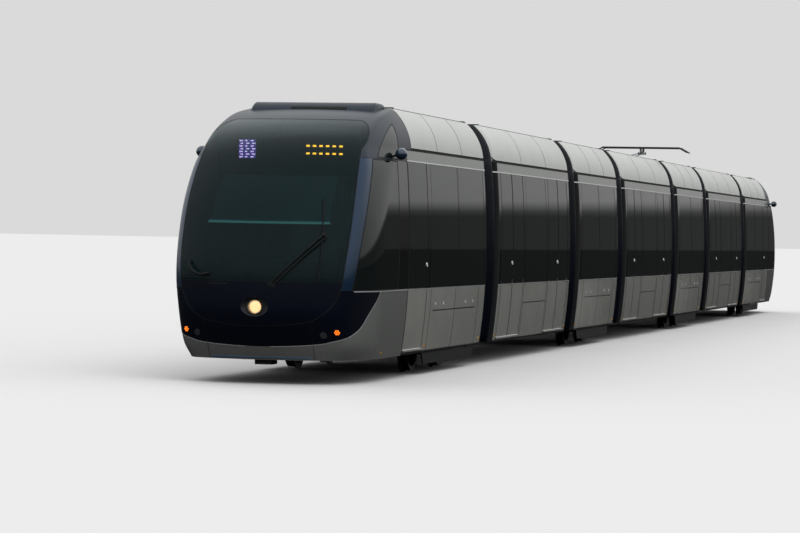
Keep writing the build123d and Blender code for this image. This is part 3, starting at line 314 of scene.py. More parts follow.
class Shape:
    """Points and faces of one piece, in millimetres of its own car."""

    def __init__(self):
        self.points, self.faces = [], []

    def add(self, points, faces):
        """More points, and faces that count from the first of them."""
        start = len(self.points)
        self.points += [tuple(float(value) for value in point) for point in points]
        self.faces += [tuple(start + index for index in face) for face in faces]

    def loft(self, rows, closed=False):
        """Loops of equally many points joined in turn, capped at both ends unless closed on itself."""
        count = len(rows[0])
        faces = []
        steps = len(rows) if closed else len(rows) - 1
        for row in range(steps):
            after = (row + 1) % len(rows)
            for index in range(count):
                other = (index + 1) % count
                faces.append((row * count + index, row * count + other, after * count + other,
                              after * count + index))
        if not closed:
            faces.append(tuple(reversed(range(count))))
            faces.append(tuple((len(rows) - 1) * count + index for index in range(count)))
        self.add([point for row in rows for point in row], faces)

    def box(self, x0, x1, y0, y1, z0, z1):
        """A block between two corners."""
        self.loft([[(x0, y0, z), (x1, y0, z), (x1, y1, z), (x0, y1, z)] for z in (z0, z1)])

    def tube(self, path, radius, sides=12):
        """A round bar along a path."""
        path = [Vector(point) for point in path]
        rows, side = [], None
        for index, point in enumerate(path):
            ahead = path[min(index + 1, len(path) - 1)] - path[max(index - 1, 0)]
            ahead.normalize()
            if side is None:
                side = ahead.orthogonal().normalized()
            side = (side - ahead * side.dot(ahead)).normalized()
            rows.append(ring(point, side, ahead.cross(side), radius, sides))
        self.loft(rows)

    def turned(self, centre, axis, outline, sides=32):
        """An outline of (along, radius) turned about an axis through a centre; its ends lie on the axis."""
        axis = Vector(axis).normalized()
        side = axis.orthogonal().normalized()
        self.loft([ring(Vector(centre) + axis * along, side, axis.cross(side), max(radius, 0.01), sides)
                   for along, radius in outline])

    def side_patch(self, x0, x1, z0, z1, out, thick):
        """Plates on both sides that follow their curve."""
        steps = max(2, int((z1 - z0) / 40) + 1)
        for sign in (1, -1):
            rows = []
            for z in np.linspace(z0, z1, steps):
                y = side_width(z) + out
                rows.append([(x0, sign * y, z), (x1, sign * y, z), (x1, sign * (y - thick), z),
                             (x0, sign * (y - thick), z)])
            self.loft(rows)

    def cove_strip(self, x0, x1, out, thick):
        """Plates on both coves of the roof that follow their curve."""
        first, last = (math.asin((z - COVE_Z) / COVE_RADIUS) for z in (ROOF_FOOT, ROOF_TOP))
        corners = ((x0, out), (x1, out), (x1, out - thick), (x0, out - thick))
        for sign in (1, -1):
            self.loft([[(x, sign * (COVE_Y + (COVE_RADIUS + deep) * math.cos(turn)),
                         COVE_Z + (COVE_RADIUS + deep) * math.sin(turn)) for x, deep in corners]
                       for turn in np.linspace(first, last, 12)])

    def plate(self, sheet, out, thick):
        """A panel on the nose, from the chart places and faces of chart_faces."""
        skin = skin_shape(*sheet, out, thick)
        self.add(skin.points, skin.faces)


def side_width(z):
    """The side's distance from the middle at a height."""
    radius = np.where(np.asarray(z) > BELT, UPPER_RADIUS, LOWER_RADIUS)
    return HALF_WIDTH - radius + np.sqrt(radius**2 - (np.asarray(z, float) - BELT)**2)


def cove_width(z):
    """The roof cove's distance from the middle at a height."""
    return COVE_Y + np.sqrt(COVE_RADIUS**2 - (np.asarray(z, float) - COVE_Z)**2)


def placed(points, car):
    """Points of a car, in metres in the frame."""
    _, x, turned = CAR[car]
    sign = -1 if turned else 1
    points = np.asarray(points, float)
    return np.column_stack([x + sign * points[:, 0], sign * points[:, 1], points[:, 2]]) * MM


def piece(name, shape, material, body, slot="fittings", car=None, smooth=32, bevel=0):
    """One finished piece: its mesh, its material and the body it rides on; the record slot is not used."""
    mesh = bpy.data.meshes.new(name)
    points = placed(shape.points, car) if car else np.asarray(shape.points, float) * MM
    mesh.from_pydata([tuple(point) for point in points], [], shape.faces)
    work = bmesh.new()
    work.from_mesh(mesh)
    bmesh.ops.remove_doubles(work, verts=work.verts, dist=WELD)
    bmesh.ops.recalc_face_normals(work, faces=work.faces)
    work.to_mesh(mesh)
    work.free()
    mesh.materials.append(finish_material(material))
    mesh.shade_smooth()
    mesh.set_sharp_from_angle(angle=math.radians(smooth))
    made = bpy.data.objects.new(name, mesh)
    bpy.context.collection.objects.link(made)
    if bevel:
        edge = made.modifiers.new("rounded edges", "BEVEL")
        edge.width, edge.segments, edge.limit_method = bevel * MM, 2, "ANGLE"
    if body:
        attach(made, body)
    return made


def car_piece(car, name, shape, material, slot="fittings", **more):
    """A piece that is drawn in its car's own place and rides on it; a name ends in the car's number."""
    return piece(f"{name}_{car}", shape, material, f"car_{car}", slot, car, **more)


def end_piece(end, name, shape, material, slot="fittings", **more):
    """A piece of the front or the rear nose."""
    car = dict(ENDS)[end]
    return piece(f"{end}_{name}", shape, material, f"car_{car}", slot, car, **more)


def end_repeat(end, name, kind, places, size, turn, material):
    """Many small shapes on the front or the rear nose."""
    car = dict(ENDS)[end]
    return repeat(f"{end}_{name}", kind, places, size, turn, material, f"car_{car}", car=car)


def repeat_tree(kind):
    """Puts one block or one peg on every vertex of a mesh, turned the same way."""
    name = f"repeat_{kind}"
    if name in bpy.data.node_groups:
        return bpy.data.node_groups[name]
    tree = bpy.data.node_groups.new(name, "GeometryNodeTree")
    for socket, way, sort in (("Places", "INPUT", "Geometry"), ("Size", "INPUT", "Vector"),
                              ("Turn", "INPUT", "Vector"), ("Finish", "INPUT", "Material"),
                              ("Shape", "OUTPUT", "Geometry")):
        tree.interface.new_socket(socket, in_out=way, socket_type=f"NodeSocket{sort}")
    given = add(tree, "NodeGroupInput", {}, {}).outputs
    if kind == "block":
        one = add(tree, "GeometryNodeMeshCube", {}, {"Size": given["Size"]})
    else:
        parts = add(tree, "ShaderNodeSeparateXYZ", {}, {"Vector": given["Size"]})
        one = add(tree, "GeometryNodeMeshCylinder", {}, {
            "Vertices": 6 if kind == "bolt" else 12, "Radius": parts.outputs["X"],
            "Depth": parts.outputs["Z"]})
    points = add(tree, "GeometryNodeMeshToPoints", {}, {"Mesh": given["Places"]})
    turn = add(tree, "FunctionNodeEulerToRotation", {}, {"Euler": given["Turn"]})
    many = add(tree, "GeometryNodeInstanceOnPoints", {}, {
        "Points": points.outputs[0], "Instance": one.outputs["Mesh"], "Rotation": turn.outputs[0]})
    real = add(tree, "GeometryNodeRealizeInstances", {}, {"Geometry": many.outputs[0]})
    dressed = add(tree, "GeometryNodeSetMaterial", {}, {
        "Geometry": real.outputs[0], "Material": given["Finish"]})
    add(tree, "NodeGroupOutput", {}, {"Shape": dressed.outputs[0]})
    return tree


def repeat(name, kind, places, size, turn, material, body, car=None):
    """Blocks, pegs or hexagon bolts at many places, as one plain mesh on a body."""
    tree = repeat_tree(kind)
    points = placed(places, car) if car else np.asarray(places, float) * MM
    source = bpy.data.meshes.new(name)
    source.from_pydata([tuple(point) for point in points], [], [])
    holder = bpy.data.objects.new(name, source)
    bpy.context.collection.objects.link(holder)
    nodes = holder.modifiers.new("repeat", "NODES")
    nodes.node_group = tree
    values = {"Size": [value * MM for value in size], "Turn": turn, "Finish": finish_material(material)}
    for item in tree.interface.items_tree:
        if item.in_out == "INPUT" and item.name in values:
            nodes[item.identifier] = values[item.name]
    bpy.context.view_layer.update()
    mesh = bpy.data.meshes.new_from_object(holder.evaluated_get(bpy.context.evaluated_depsgraph_get()))
    holder.modifiers.remove(nodes)
    holder.data = mesh
    bpy.data.meshes.remove(source)
    mesh.name = name
    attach(holder, body)
    return holder


def dress_tree(name, default, rules):
    """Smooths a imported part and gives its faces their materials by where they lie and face."""
    if name in bpy.data.node_groups:
        return bpy.data.node_groups[name]
    tree = bpy.data.node_groups.new(name, "GeometryNodeTree")
    for way in ("INPUT", "OUTPUT"):
        tree.interface.new_socket("Part", in_out=way, socket_type="NodeSocketGeometry")
    given = add(tree, "NodeGroupInput", {}, {}).outputs[0]
    merged = add(tree, "GeometryNodeMergeByDistance", {}, {"Geometry": given, "Distance": WELD})
    angle = add(tree, "GeometryNodeInputMeshEdgeAngle", {}, {})
    soft = add(tree, "FunctionNodeCompare", {"operation": "LESS_THAN"}, {
        0: angle.outputs[0], 1: math.radians(28)})
    faces = add(tree, "GeometryNodeSetShadeSmooth", {"domain": "FACE"}, {"Geometry": merged.outputs[0]})
    edges = add(tree, "GeometryNodeSetShadeSmooth", {"domain": "EDGE"}, {
        "Geometry": faces.outputs[0], "Shade Smooth": soft.outputs[0]})
    flow = add(tree, "GeometryNodeSetMaterial", {}, {
        "Geometry": edges.outputs[0], "Material": finish_material(default)}).outputs[0]
    vectors = [add(tree, kind, {}, {}).outputs[0]
               for kind in ("GeometryNodeInputPosition", "GeometryNodeInputNormal")]
    where, facing = (add(tree, "ShaderNodeSeparateXYZ", {}, {"Vector": vector}).outputs for vector in vectors)
    fields = {"z": where[2], "nz": facing[2]}
    for key, socket in (("x", where[0]), ("y", where[1]), ("nx", facing[0]), ("ny", facing[1])):
        fields[key] = add(tree, "ShaderNodeMath", {"operation": "ABSOLUTE"}, {0: socket}).outputs[0]
    for material, limits in rules:
        chosen = None
        for key, low, high in limits:
            for operation, limit in (("GREATER_THAN", low), ("LESS_THAN", high)):
                if limit is None:
                    continue
                test = add(tree, "FunctionNodeCompare", {"operation": operation}, {
                    0: fields[key], 1: limit}).outputs[0]
                chosen = test if chosen is None else add(
                    tree, "FunctionNodeBooleanMath", {"operation": "AND"}, {0: chosen, 1: test}).outputs[0]
        flow = add(tree, "GeometryNodeSetMaterial", {}, {
            "Geometry": flow, "Selection": chosen, "Material": finish_material(material)}).outputs[0]
    add(tree, "NodeGroupOutput", {}, {0: flow})
    return tree


# Kind of part: default finish, then finish and the limits (field, low, high, in metres for x, y and z)
# of the faces that get it; None where one finish takes the whole part
DRESS = {
    "body": ("lining_laminate", [
        ("chipped_rubber_floor", [("nz", 0.7, None), ("z", 0.17, 0.26)]),
        ("primed_cast_steel", [("z", None, 0.336), ("nz", None, -0.5)]),
        ("metallic_silver_paint", [("y", 0.538, None), ("ny", 0.15, None)]),
        ("black_anodised_aluminium", [("nx", 0.8, None), ("y", 0.3, None)]),
        ("brushed_stainless_steel", [("nz", 0.5, None), ("y", 0.53, None), ("z", 0.15, 0.18)]),
    ]),
    # The coves take the paler silver: painted sky light
    "roof": ("sky_lit_cove_paint", [
        ("galvanised_deck_sheet", [("nz", 0.7, None), ("z", 1.47, 1.49)]),
        ("powder_coated_cover", [("y", None, 0.34), ("z", 1.4805, None)]),
        ("lining_laminate", [("nz", None, -0.5), ("z", None, 1.4)]),
        ("black_anodised_aluminium", [("z", None, 1.4025), ("y", 0.5, None)]),
    ]),
    "glazing": ("tinted_side_glass", []),
    "doors": ("lining_laminate", [
        ("metallic_silver_paint", [("y", 0.55, None), ("ny", 0.5, None), ("z", None, 0.56)]),
        ("black_bonded_glass", [("y", 0.55, None), ("z", 0.56, None)]),
    ]),
    "seats": ("wool_moquette", [
        ("grained_abs", [("nz", None, -0.3)]),
        ("brushed_stainless_steel", [("y", 0.405, 0.451), ("nz", -0.5, 0.5), ("z", 0.76, None)]),
        ("lining_laminate", [("x", 9.65, 9.69)]),
        ("black_anodised_aluminium", [("x", 9.9, 10.1), ("z", None, 0.365)]),
        ("grained_abs", [("x", 10.2, None)]),
    ]),
    "bogie": ("primed_cast_steel", [("black_anodised_aluminium", [("y", 0.535, None)])]),
    "wheelset": ("rolled_wheel_steel", []),
    "pantograph": ("pantograph_paint", [
        ("silicone_insulator", [("y", 0.2, None), ("z", 1.479, 1.5445), ("nz", -0.99, 0.99)]),
    ]),
    "pantograph_head": ("pantograph_paint", [("sintered_carbon", [("z", 1.786, None)])]),
    "gangway": ("coated_bellows_cloth", None),
    "front": ("midnight_gelcoat", None),
    "rear": ("midnight_gelcoat", None),
}


class TRAM_OT_packed_parts(bpy.types.Operator):
    """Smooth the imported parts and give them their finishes"""
    bl_idname = "tram.packed_parts"
    bl_label = "Packed parts"

    def execute(self, context):
        for node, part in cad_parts.items():
            kind = node if node in DRESS else node.split("_")[0]
            default, rules = DRESS[kind]
            part.data.materials.clear()
            part.data.materials.append(finish_material(default))
            if rules is not None:
                part.modifiers.new("dress", "NODES").node_group = dress_tree(f"dress_{kind}", default, rules)
        return {"FINISHED"}


def smooth_rows(z):
    """Set-back, corner radius and start of the side's curve at heights, eased between the rows."""
    rows = NOSE_ROWS
    heights = rows[:, 0]
    z = np.clip(np.asarray(z, float), heights[0], heights[-1])
    gap = np.diff(heights)
    results = []
    for column in (1, 2, 3):
        values = rows[:, column]
        slope = np.diff(values) / gap
        turn = np.zeros(len(heights))
        same = slope[:-1] * slope[1:] > 0
        first, second = 2 * gap[1:] + gap[:-1], gap[1:] + 2 * gap[:-1]
        with np.errstate(divide="ignore", invalid="ignore"):
            mean = (first + second) / (first / slope[:-1] + second / slope[1:])
        turn[1:-1] = np.where(same, mean, 0)
        turn[0], turn[-1] = slope[0], slope[-1]
        place = np.clip(np.searchsorted(heights, z, side="right") - 1, 0, len(gap) - 1)
        part = (z - heights[place]) / gap[place]
        results.append((1 + 2 * part) * (1 - part)**2 * values[place]
                       + part * (1 - part)**2 * gap[place] * turn[place]
                       + part**2 * (3 - 2 * part) * values[place + 1]
                       + part**2 * (part - 1) * gap[place] * turn[place + 1])
    return results


def nose_width(z):
    """Half width of the nose, eased from the side's curve into the roof's."""
    z = np.asarray(z, float)
    mix = np.clip((z - COVE_FROM) / (ROOF_FOOT - COVE_FROM), 0, 1)
    mix = mix * mix * (3 - 2 * mix)
    return side_width(np.minimum(z, ROOF_FOOT)) * (1 - mix) + cove_width(np.clip(z, COVE_FROM, COVE_TO)) * mix


def section(z):
    """The three arcs of a level cut, as arrays: centres, radii, angles and lengths."""
    back, corner, side_from = smooth_rows(z)
    wide = nose_width(z)
    fx, fy = -back - FRONT_RADIUS, np.zeros_like(back)
    sx, sy = -side_from, wide - SIDE_RADIUS
    near, far = FRONT_RADIUS - corner, SIDE_RADIUS - corner
    gx, gy = sx - fx, sy - fy
    gap = np.hypot(gx, gy)
    reach = (gap**2 + near**2 - far**2) / (2 * gap)
    rise = np.sqrt(np.maximum(near**2 - reach**2, 0))
    ux, uy = gx / gap, gy / gap
    cx, cy = fx + ux * reach - uy * rise, fy + uy * reach + ux * rise
    turn_1 = np.arctan2(cy - fy, cx - fx)
    turn_2 = np.arctan2(cy - sy, cx - sx)
    length_1 = FRONT_RADIUS * turn_1
    length_2 = length_1 + corner * (turn_2 - turn_1)
    length_3 = length_2 + SIDE_RADIUS * (math.pi / 2 - turn_2)
    return fx, cx, cy, sx, sy, corner, turn_1, turn_2, length_1, length_2, length_3, wide


PROFILE_Z = np.linspace(142, 1642, 3001)
PROFILE_BACK = smooth_rows(PROFILE_Z)[0]
PROFILE_V = np.concatenate([[0], np.cumsum(np.hypot(np.diff(PROFILE_Z), np.diff(PROFILE_BACK)))])


def nose_point(s, v):
    """Points of the nose from the length s round its level cut and v up its middle line."""
    s, v = np.asarray(s, float), np.asarray(v, float)
    z = np.interp(v, PROFILE_V, PROFILE_Z)
    fx, cx, cy, sx, sy, corner, turn_1, turn_2, length_1, length_2, length_3, wide = section(z)
    run = np.abs(s)
    angle_1 = run / FRONT_RADIUS
    angle_2 = turn_1 + (run - length_1) / corner
    angle_3 = turn_2 + (run - length_2) / SIDE_RADIUS
    zones = [run < length_1, run < length_2, run < length_3]
    x = np.select(zones, [fx + FRONT_RADIUS * np.cos(angle_1), cx + corner * np.cos(angle_2),
                          sx + SIDE_RADIUS * np.cos(angle_3)], sx - (run - length_3))
    y = np.select(zones, [FRONT_RADIUS * np.sin(angle_1), cy + corner * np.sin(angle_2),
                          sy + SIDE_RADIUS * np.sin(angle_3)], wide)
    return np.stack([CAB_LENGTH + x, np.where(s < 0, -y, y), z], axis=-1)


def nose_surface(s, v, out=0.0):
    """Points of the nose moved outwards by a distance."""
    s, v = np.asarray(s, float), np.asarray(v, float)
    step = 1.5
    low, high = np.maximum(v - step, 0), np.minimum(v + step, PROFILE_V[-1])
    across = nose_point(s + step, v) - nose_point(s - step, v)
    up = nose_point(s, high) - nose_point(s, low)
    normal = np.cross(across, up)
    normal /= np.maximum(np.linalg.norm(normal, axis=-1, keepdims=True), TINY)
    return nose_point(s, v) + normal * out


RUN = np.linspace(0, 2600, 1301)


def v_of(z):
    """Length up the middle line at a height."""
    return float(np.interp(z, PROFILE_Z, PROFILE_V))


def at_y(y, z):
    """Chart place of a point given by its distance from the middle and its height."""
    v = v_of(z)
    found = nose_point(RUN, np.full_like(RUN, v))
    rising = np.maximum.accumulate(found[:, 1])
    return math.copysign(float(np.interp(abs(y), rising, RUN)), y), v


def at_back(back, z, sign=1):
    """Chart place of a point given by its set-back and its height, on one side."""
    v = v_of(z)
    found = nose_point(RUN, np.full_like(RUN, v))
    return sign * float(np.interp(back, CAB_LENGTH - found[:, 0], RUN)), v


def arc(first, middle, last, steps=14):
    """Points on the circle through three points, without the last."""
    ax, ay, bx, by, cx, cy = *first, *middle, *last
    det = 2 * (ax * (by - cy) + bx * (cy - ay) + cx * (ay - by))
    if abs(det) < 1e-6:
        return [(ax + (cx - ax) * k / steps, ay + (cy - ay) * k / steps) for k in range(steps)]
    ox = ((ax**2 + ay**2) * (by - cy) + (bx**2 + by**2) * (cy - ay) + (cx**2 + cy**2) * (ay - by)) / det
    oy = ((ax**2 + ay**2) * (cx - bx) + (bx**2 + by**2) * (ax - cx) + (cx**2 + cy**2) * (bx - ax)) / det
    radius = math.hypot(ax - ox, ay - oy)
    start, mid, end = (math.atan2(y - oy, x - ox) for x, y in (first, middle, last))
    sweep = (end - start) % (2 * math.pi)
    if (mid - start) % (2 * math.pi) > sweep:
        sweep -= 2 * math.pi
    return [(ox + radius * math.cos(turn), oy + radius * math.sin(turn))
            for turn in (start + sweep * k / steps for k in range(steps))]


def mask_edge(inset):
    """The mask's outline as chart places, from the bottom middle round to the left and back."""
    points = [(y + inset * dy, z + inset * dz) for y, z, dy, dz in MASK_EDGE]
    half = []
    for first in (0, 2, 4, 6):
        half += arc(*points[first:first + 3])
    half += [(points[8][0] * part, points[8][1]) for part in (1, 0.75, 0.5, 0.25)] + [points[9]]
    right = [at_y(y, z) for y, z in half]
    return right + [(-s, v) for s, v in reversed(right[1:-1])]


def pane_edge(table, inset, sign):
    """A side pane's outline as chart places."""
    points = [(back + inset * pull, z + inset * lift) for back, z, pull, lift in table]
    places = arc(*points[:3])
    for start, end in zip(points[2:], points[3:] + points[:1]):
        places += [(start[0] + (end[0] - start[0]) * k / 10, start[1] + (end[1] - start[1]) * k / 10)
                   for k in range(10)]
    return [at_back(back, z, sign) for back, z in places]


def spread(loop, step, closed=True):
    """A polyline with points no further apart than a step."""
    loop = [Vector(point) for point in loop]
    pairs = zip(loop, loop[1:] + loop[:1]) if closed else zip(loop, loop[1:])
    places = []
    for start, end in pairs:
        count = max(1, math.ceil((end - start).length / step))
        places += [start.lerp(end, k / count) for k in range(count)]
    return places if closed else places + [loop[-1]]


def inside(points, loop):
    """Whether each point lies inside a closed outline."""
    points = np.asarray(points, float)
    loop = np.asarray([tuple(point) for point in loop], float)
    result = np.zeros(len(points), bool)
    for (ax, ay), (bx, by) in zip(loop, np.roll(loop, -1, axis=0)):
        if ay == by:
            continue
        hit = (ay > points[:, 1]) != (by > points[:, 1])
        cut = (bx - ax) * (points[:, 1] - ay) / (by - ay) + ax
        result ^= hit & (points[:, 0] < cut)
    return result


def away(points, loops, gap):
    """Whether each point is at least a gap from every vertex of some outlines."""
    corners = np.array([tuple(point) for loop in loops for point in loop])
    keep = np.ones(len(points), bool)
    for index in range(0, len(points), 400):
        part = points[index:index + 400]
        keep[index:index + 400] = np.min(np.hypot(part[:, None, 0] - corners[None, :, 0],
                                                  part[:, None, 1] - corners[None, :, 1]), axis=1) > gap
    return keep


def chart_faces(outline, holes, lines=(), step=26):
    """Chart places and triangles that fill an outline round its holes, with edges along some lines."""
    loops = [spread(outline, step * 0.6)] + [spread(hole, step * 0.6) for hole in holes]
    strings = [spread(line, step * 0.6, closed=False) for line in lines]
    flat = np.array([tuple(point) for point in loops[0]])
    (s0, v0), (s1, v1) = flat.min(axis=0), flat.max(axis=0)
    grid_s, grid_v = np.meshgrid(np.arange(s0 + step / 2, s1, step), np.arange(v0 + step / 2, v1, step))
    grid_s[1::2] += step / 2
    grid = np.column_stack([grid_s.ravel(), grid_v.ravel()])
    grid = grid[inside(grid, loops[0])]
    for hole in loops[1:]:
        grid = grid[~inside(grid, hole)]
    grid = grid[away(grid, loops + strings, step * 0.45)]
    points, edges = [], []
    for loop in loops:
        start = len(points)
        points += loop
        edges += [(start + k, start + (k + 1) % len(loop)) for k in range(len(loop))]
    for line in strings:
        start = len(points)
        points += line
        edges += [(start + k, start + k + 1) for k in range(len(line) - 1)]
    points += [Vector(point) for point in grid]
    verts, _, faces, *_ = delaunay_2d_cdt(points, edges, [], 0, 0.01)
    places = np.array([tuple(vert) for vert in verts])
    middles = np.array([places[list(face)].mean(axis=0) for face in faces])
    keep = inside(middles, loops[0])
    for hole in loops[1:]:
        keep &= ~inside(middles, hole)
    return places, [tuple(face) for face, kept in zip(faces, keep) if kept]


def skin_shape(places, faces, out, thick):
    """A panel on the nose's surface: outer and inner faces and the rim between them."""
    used = sorted({index for face in faces for index in face})
    order = {old: new for new, old in enumerate(used)}
    faces = [tuple(order[index] for index in face) for face in faces]
    s, v = places[used, 0], places[used, 1]
    outer, inner = nose_surface(s, v, out), nose_surface(s, v, out - thick)
    count = len(used)
    edges = {}
    for face in faces:
        for start, end in zip(face, face[1:] + face[:1]):
            edges[(start, end)] = edges.get((start, end), 0) + 1
    rim = [(start, end) for start, end in edges if (end, start) not in edges]
    shape = Shape()
    shape.add(np.concatenate([outer, inner]),
              faces + [tuple(reversed([index + count for index in face])) for face in faces]
              + [(end, start, start + count, end + count) for start, end in rim])
    return shape


def ribbon(shape, line, width, out, thick, closed=False):
    """A strip along chart places, as a joint, a seal or a trim on the nose."""
    places = np.array([tuple(place) for place in spread(line, 14, closed)])
    ahead = np.roll(places, -1, axis=0) - np.roll(places, 1, axis=0)
    if not closed:
        ahead[0], ahead[-1] = places[1] - places[0], places[-1] - places[-2]
    side = np.stack([-ahead[:, 1], ahead[:, 0]], axis=1)
    side *= width / 2 / np.maximum(np.linalg.norm(side, axis=1, keepdims=True), TINY)
    corners = np.stack([places + side, places - side, places - side, places + side])
    deep = np.array([out, out, out - thick, out - thick])[:, None, None]
    shape.loft(list(nose_surface(corners[..., 0], corners[..., 1], deep).transpose(1, 0, 2)), closed)


def on_nose(y, z, out):
    """A point over the front of the nose, from its distance from the middle and its height."""
    return tuple(nose_surface(*at_y(y, z), out))


def chart_oval(y, z, wide, high, count=28):
    """An oval drawn on the front of the nose, as chart places."""
    s, v = at_y(y, z)
    return [(s + wide * math.cos(turn), v + high * math.sin(turn))
            for turn in turns(count)]


def eased(points, steps=8):
    """A smooth line through chart places."""
    points = [Vector(point) for point in points]
    places = []
    for index in range(len(points) - 1):
        before, start, end, after = (points[max(index - 1, 0)], points[index], points[index + 1],
                                     points[min(index + 2, len(points) - 1)])
        for k in range(steps):
            t = k / steps
            places.append(0.5 * (2 * start + (end - before) * t
                                 + (2 * before - 5 * start + 4 * end - after) * t**2
                                 + (3 * start - before - 3 * end + after) * t**3))
    return places + [points[-1]]


def front_level(z, first, last, count):
    """Chart places along a level of the front, from one distance from the middle to another."""
    return [at_y(y, z) for y in np.linspace(first, last, count)]


def upright(back, low, high, sign=1, count=24):
    """Chart places up a line of one set-back."""
    return [at_back(back, z, sign) for z in np.linspace(low, high, count)]


def level(z, first, last, count=12, sign=1):
    """Chart places along a level from one set-back to another."""
    return [at_back(back, z, sign) for back in np.linspace(first, last, count)]


TOP_OF_NOSE = float(np.interp(ROOF_END - 8, PROFILE_BACK, PROFILE_Z))
# Edge between the midnight front and the silver side of the lower nose: y and z over the front, then
# set-back and z up the side
LOWER_FRONT = [(0, 222), (170, 226), (347, 240), (420, 256)]
LOWER_SIDE = [(237, 283), (337, 331), (420, 410), (512, 478), (604, 547)]


def lower_edge():
    """The edge of the midnight front as chart places, from the middle to the left side."""
    return eased([at_y(y, z) for y, z in LOWER_FRONT] + [at_back(back, z) for back, z in LOWER_SIDE])


def mirrored(line):
    """A chart line on the other side."""
    return [(-point[0], point[1]) for point in line]


class TRAM_OT_nose_panels(bpy.types.Operator):
    """Moulded panels of both noses: front, lower sides, pillars and crown, with their joints"""
    bl_idname = "tram.nose_panels"
    bl_label = "Nose panels"

    def execute(self, context):
        right = [(0.0, v_of(SILL))] + level(SILL, 300, SIDE_END, 8)[1:] + upright(SIDE_END, SILL, WALL_TOP)[1:]
        right += level(WALL_TOP, SIDE_END, ROOF_END, 5)[1:]
        right += upright(ROOF_END, WALL_TOP, TOP_OF_NOSE, 1, 16)[1:]
        outline = right + [(0.0, v_of(TOP_OF_NOSE))] + mirrored(reversed(right[1:]))
        holes = [mask_edge(0)] + [pane_edge(table, 0, sign) for table, sign in PANES]
        edge = lower_edge()
        lines = [edge, mirrored(edge)]
        for sign in (1, -1):
            for z, y, back in ((WAIST, 450, 250), (NOSE_SPLIT, 470, 560)):
                lines.append([at_y(sign * y, z)] + level(z, back, SIDE_END + 2, 12, sign))
            lines.append(upright(PANE_END, WAIST, NOSE_SPLIT, sign))
        places, faces = chart_faces(outline, holes, lines)
        middles = np.array([places[list(face)].mean(axis=0) for face in faces])
        run, height = np.abs(middles[:, 0]), middles[:, 1]
        end_s, end_v = zip(*upright(PANE_END, WAIST, NOSE_SPLIT))
        behind_pane = run > np.interp(height, end_v, end_s)
        low, top = height < v_of(WAIST), height >= v_of(NOSE_SPLIT)
        below = low & (height < np.interp(run, *zip(*edge)))
        # The lower sides get the darkened silver: painted shade
        zones = [("lower_sides", "shaded_silver_paint", below),
                 ("front_panel", "midnight_gelcoat", low & ~below),
                 ("pillars", "blue_silver_paint", ~low & ~top & ~behind_pane),
                 ("pillar_glass", "black_bonded_glass", ~low & ~top & behind_pane),
                 ("crown", "crown_silver_paint", top)]
        panels = [(name, paint, skin_shape(places, [face for face, kept in zip(faces, chosen) if kept], 0, 22))
                  for name, paint, chosen in zones]

        joints, trim, markers, foot, floor = (Shape() for _ in range(5))
        for sign in (1, -1):
            own_edge = edge if sign > 0 else mirrored(edge)
            for y, z, back in ((481, WAIST, 215), (489, NOSE_SPLIT, 560)):
                ribbon(joints, [at_y(sign * y, z)] + level(z, back, SIDE_END, 12, sign), JOINT, 0.5, 3)
            for back, z0, z1, count in ((SIDE_END, SILL, WALL_TOP, 24), (ROOF_END, WALL_TOP, TOP_OF_NOSE, 16)):
                ribbon(joints, upright(back - 2, z0, z1, sign, count), 5, 0.5, 3)
            ribbon(joints, [at_y(sign * 313, z) for z in np.linspace(366, SILL + 4, 8)], JOINT, 0.6, 3)
            ribbon(joints, own_edge, 2.5, 0.5, 3)
            ribbon(trim, level(WAIST - 6, 215, SIDE_END, 14, sign), 5.5, 1.4, 3)
            ribbon(trim, [(s, v - 4) for s, v in own_edge][4:], 3, 1.0, 3)
            ribbon(markers, level(174, 730, 760, 3, sign), 13, 2.5, 5)
        for sign in (1, -1):
            ribbon(joints, level(WALL_TOP, SIDE_END, ROOF_END, 4, sign), 5, 0.5, 3)
        # A pale blue strip along the foot of the front: a painted highlight
        ribbon(foot, front_level(157, -296, 296, 14), 9, 1.5, 4)
        s = np.linspace(0, at_back(SIDE_END - 4, 150)[0], 40)
        side = nose_surface(s, np.full_like(s, v_of(150)), -20)[:, :2]
        loop = [tuple(point) for point in side] + [(x, -y) for x, y in reversed(side[1:])]
        floor.loft([[(x, y, z) for x, y in loop] for z in (SILL + 2, FLOOR)])
        floor.box(CAB_LENGTH - 330, CAB_LENGTH - 210, -50, 50, 112, SILL + 3)
        for end, _ in ENDS:
            made = {name: end_piece(end, name, shape, paint, "nose_paint") for name, paint, shape in panels}
            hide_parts(f"{end}_nose")
            end_piece(end, "panel_joints", joints, "epdm_rubber")
            end_piece(end, "side_markers", markers, "amber_acrylic")
            end_piece(end, "bright_trim", trim, "brushed_stainless_steel")
            end_piece(end, "flap_highlight_strip", foot, "painted_highlight_trim")
            end_piece(end, "cab_floor", floor, "primed_cast_steel", "bogie_paint")
        return {"FINISHED"}


def screen_outline(inset, foot, top=None):
    """The mask's edge above a level and, if one is given, below another, as chart places."""
    places = [point for point in mask_edge(inset) if point[1] > v_of(foot) + 4]
    if top is not None:
        places = [point for point in places if point[1] < v_of(top) - 4]
    right = [point for point in places if point[0] > 0]
    left = [point for point in places if point[0] < 0]
    start, end = (right[0][0] - 1, v_of(foot)), (1 - right[0][0], v_of(foot))
    if top is None:
        return [start] + places + [end]
    s_top = np.interp(v_of(top), [v for _, v in right], [s for s, _ in right])
    return [start] + right + [(s_top, v_of(top)), (-s_top, v_of(top))] + left + [end]


def display_x(y):
    """How far forward the upright displays stand behind the screen at a place across the nose."""
    return on_nose(y, DISPLAY_TOP, 0)[0] - 44


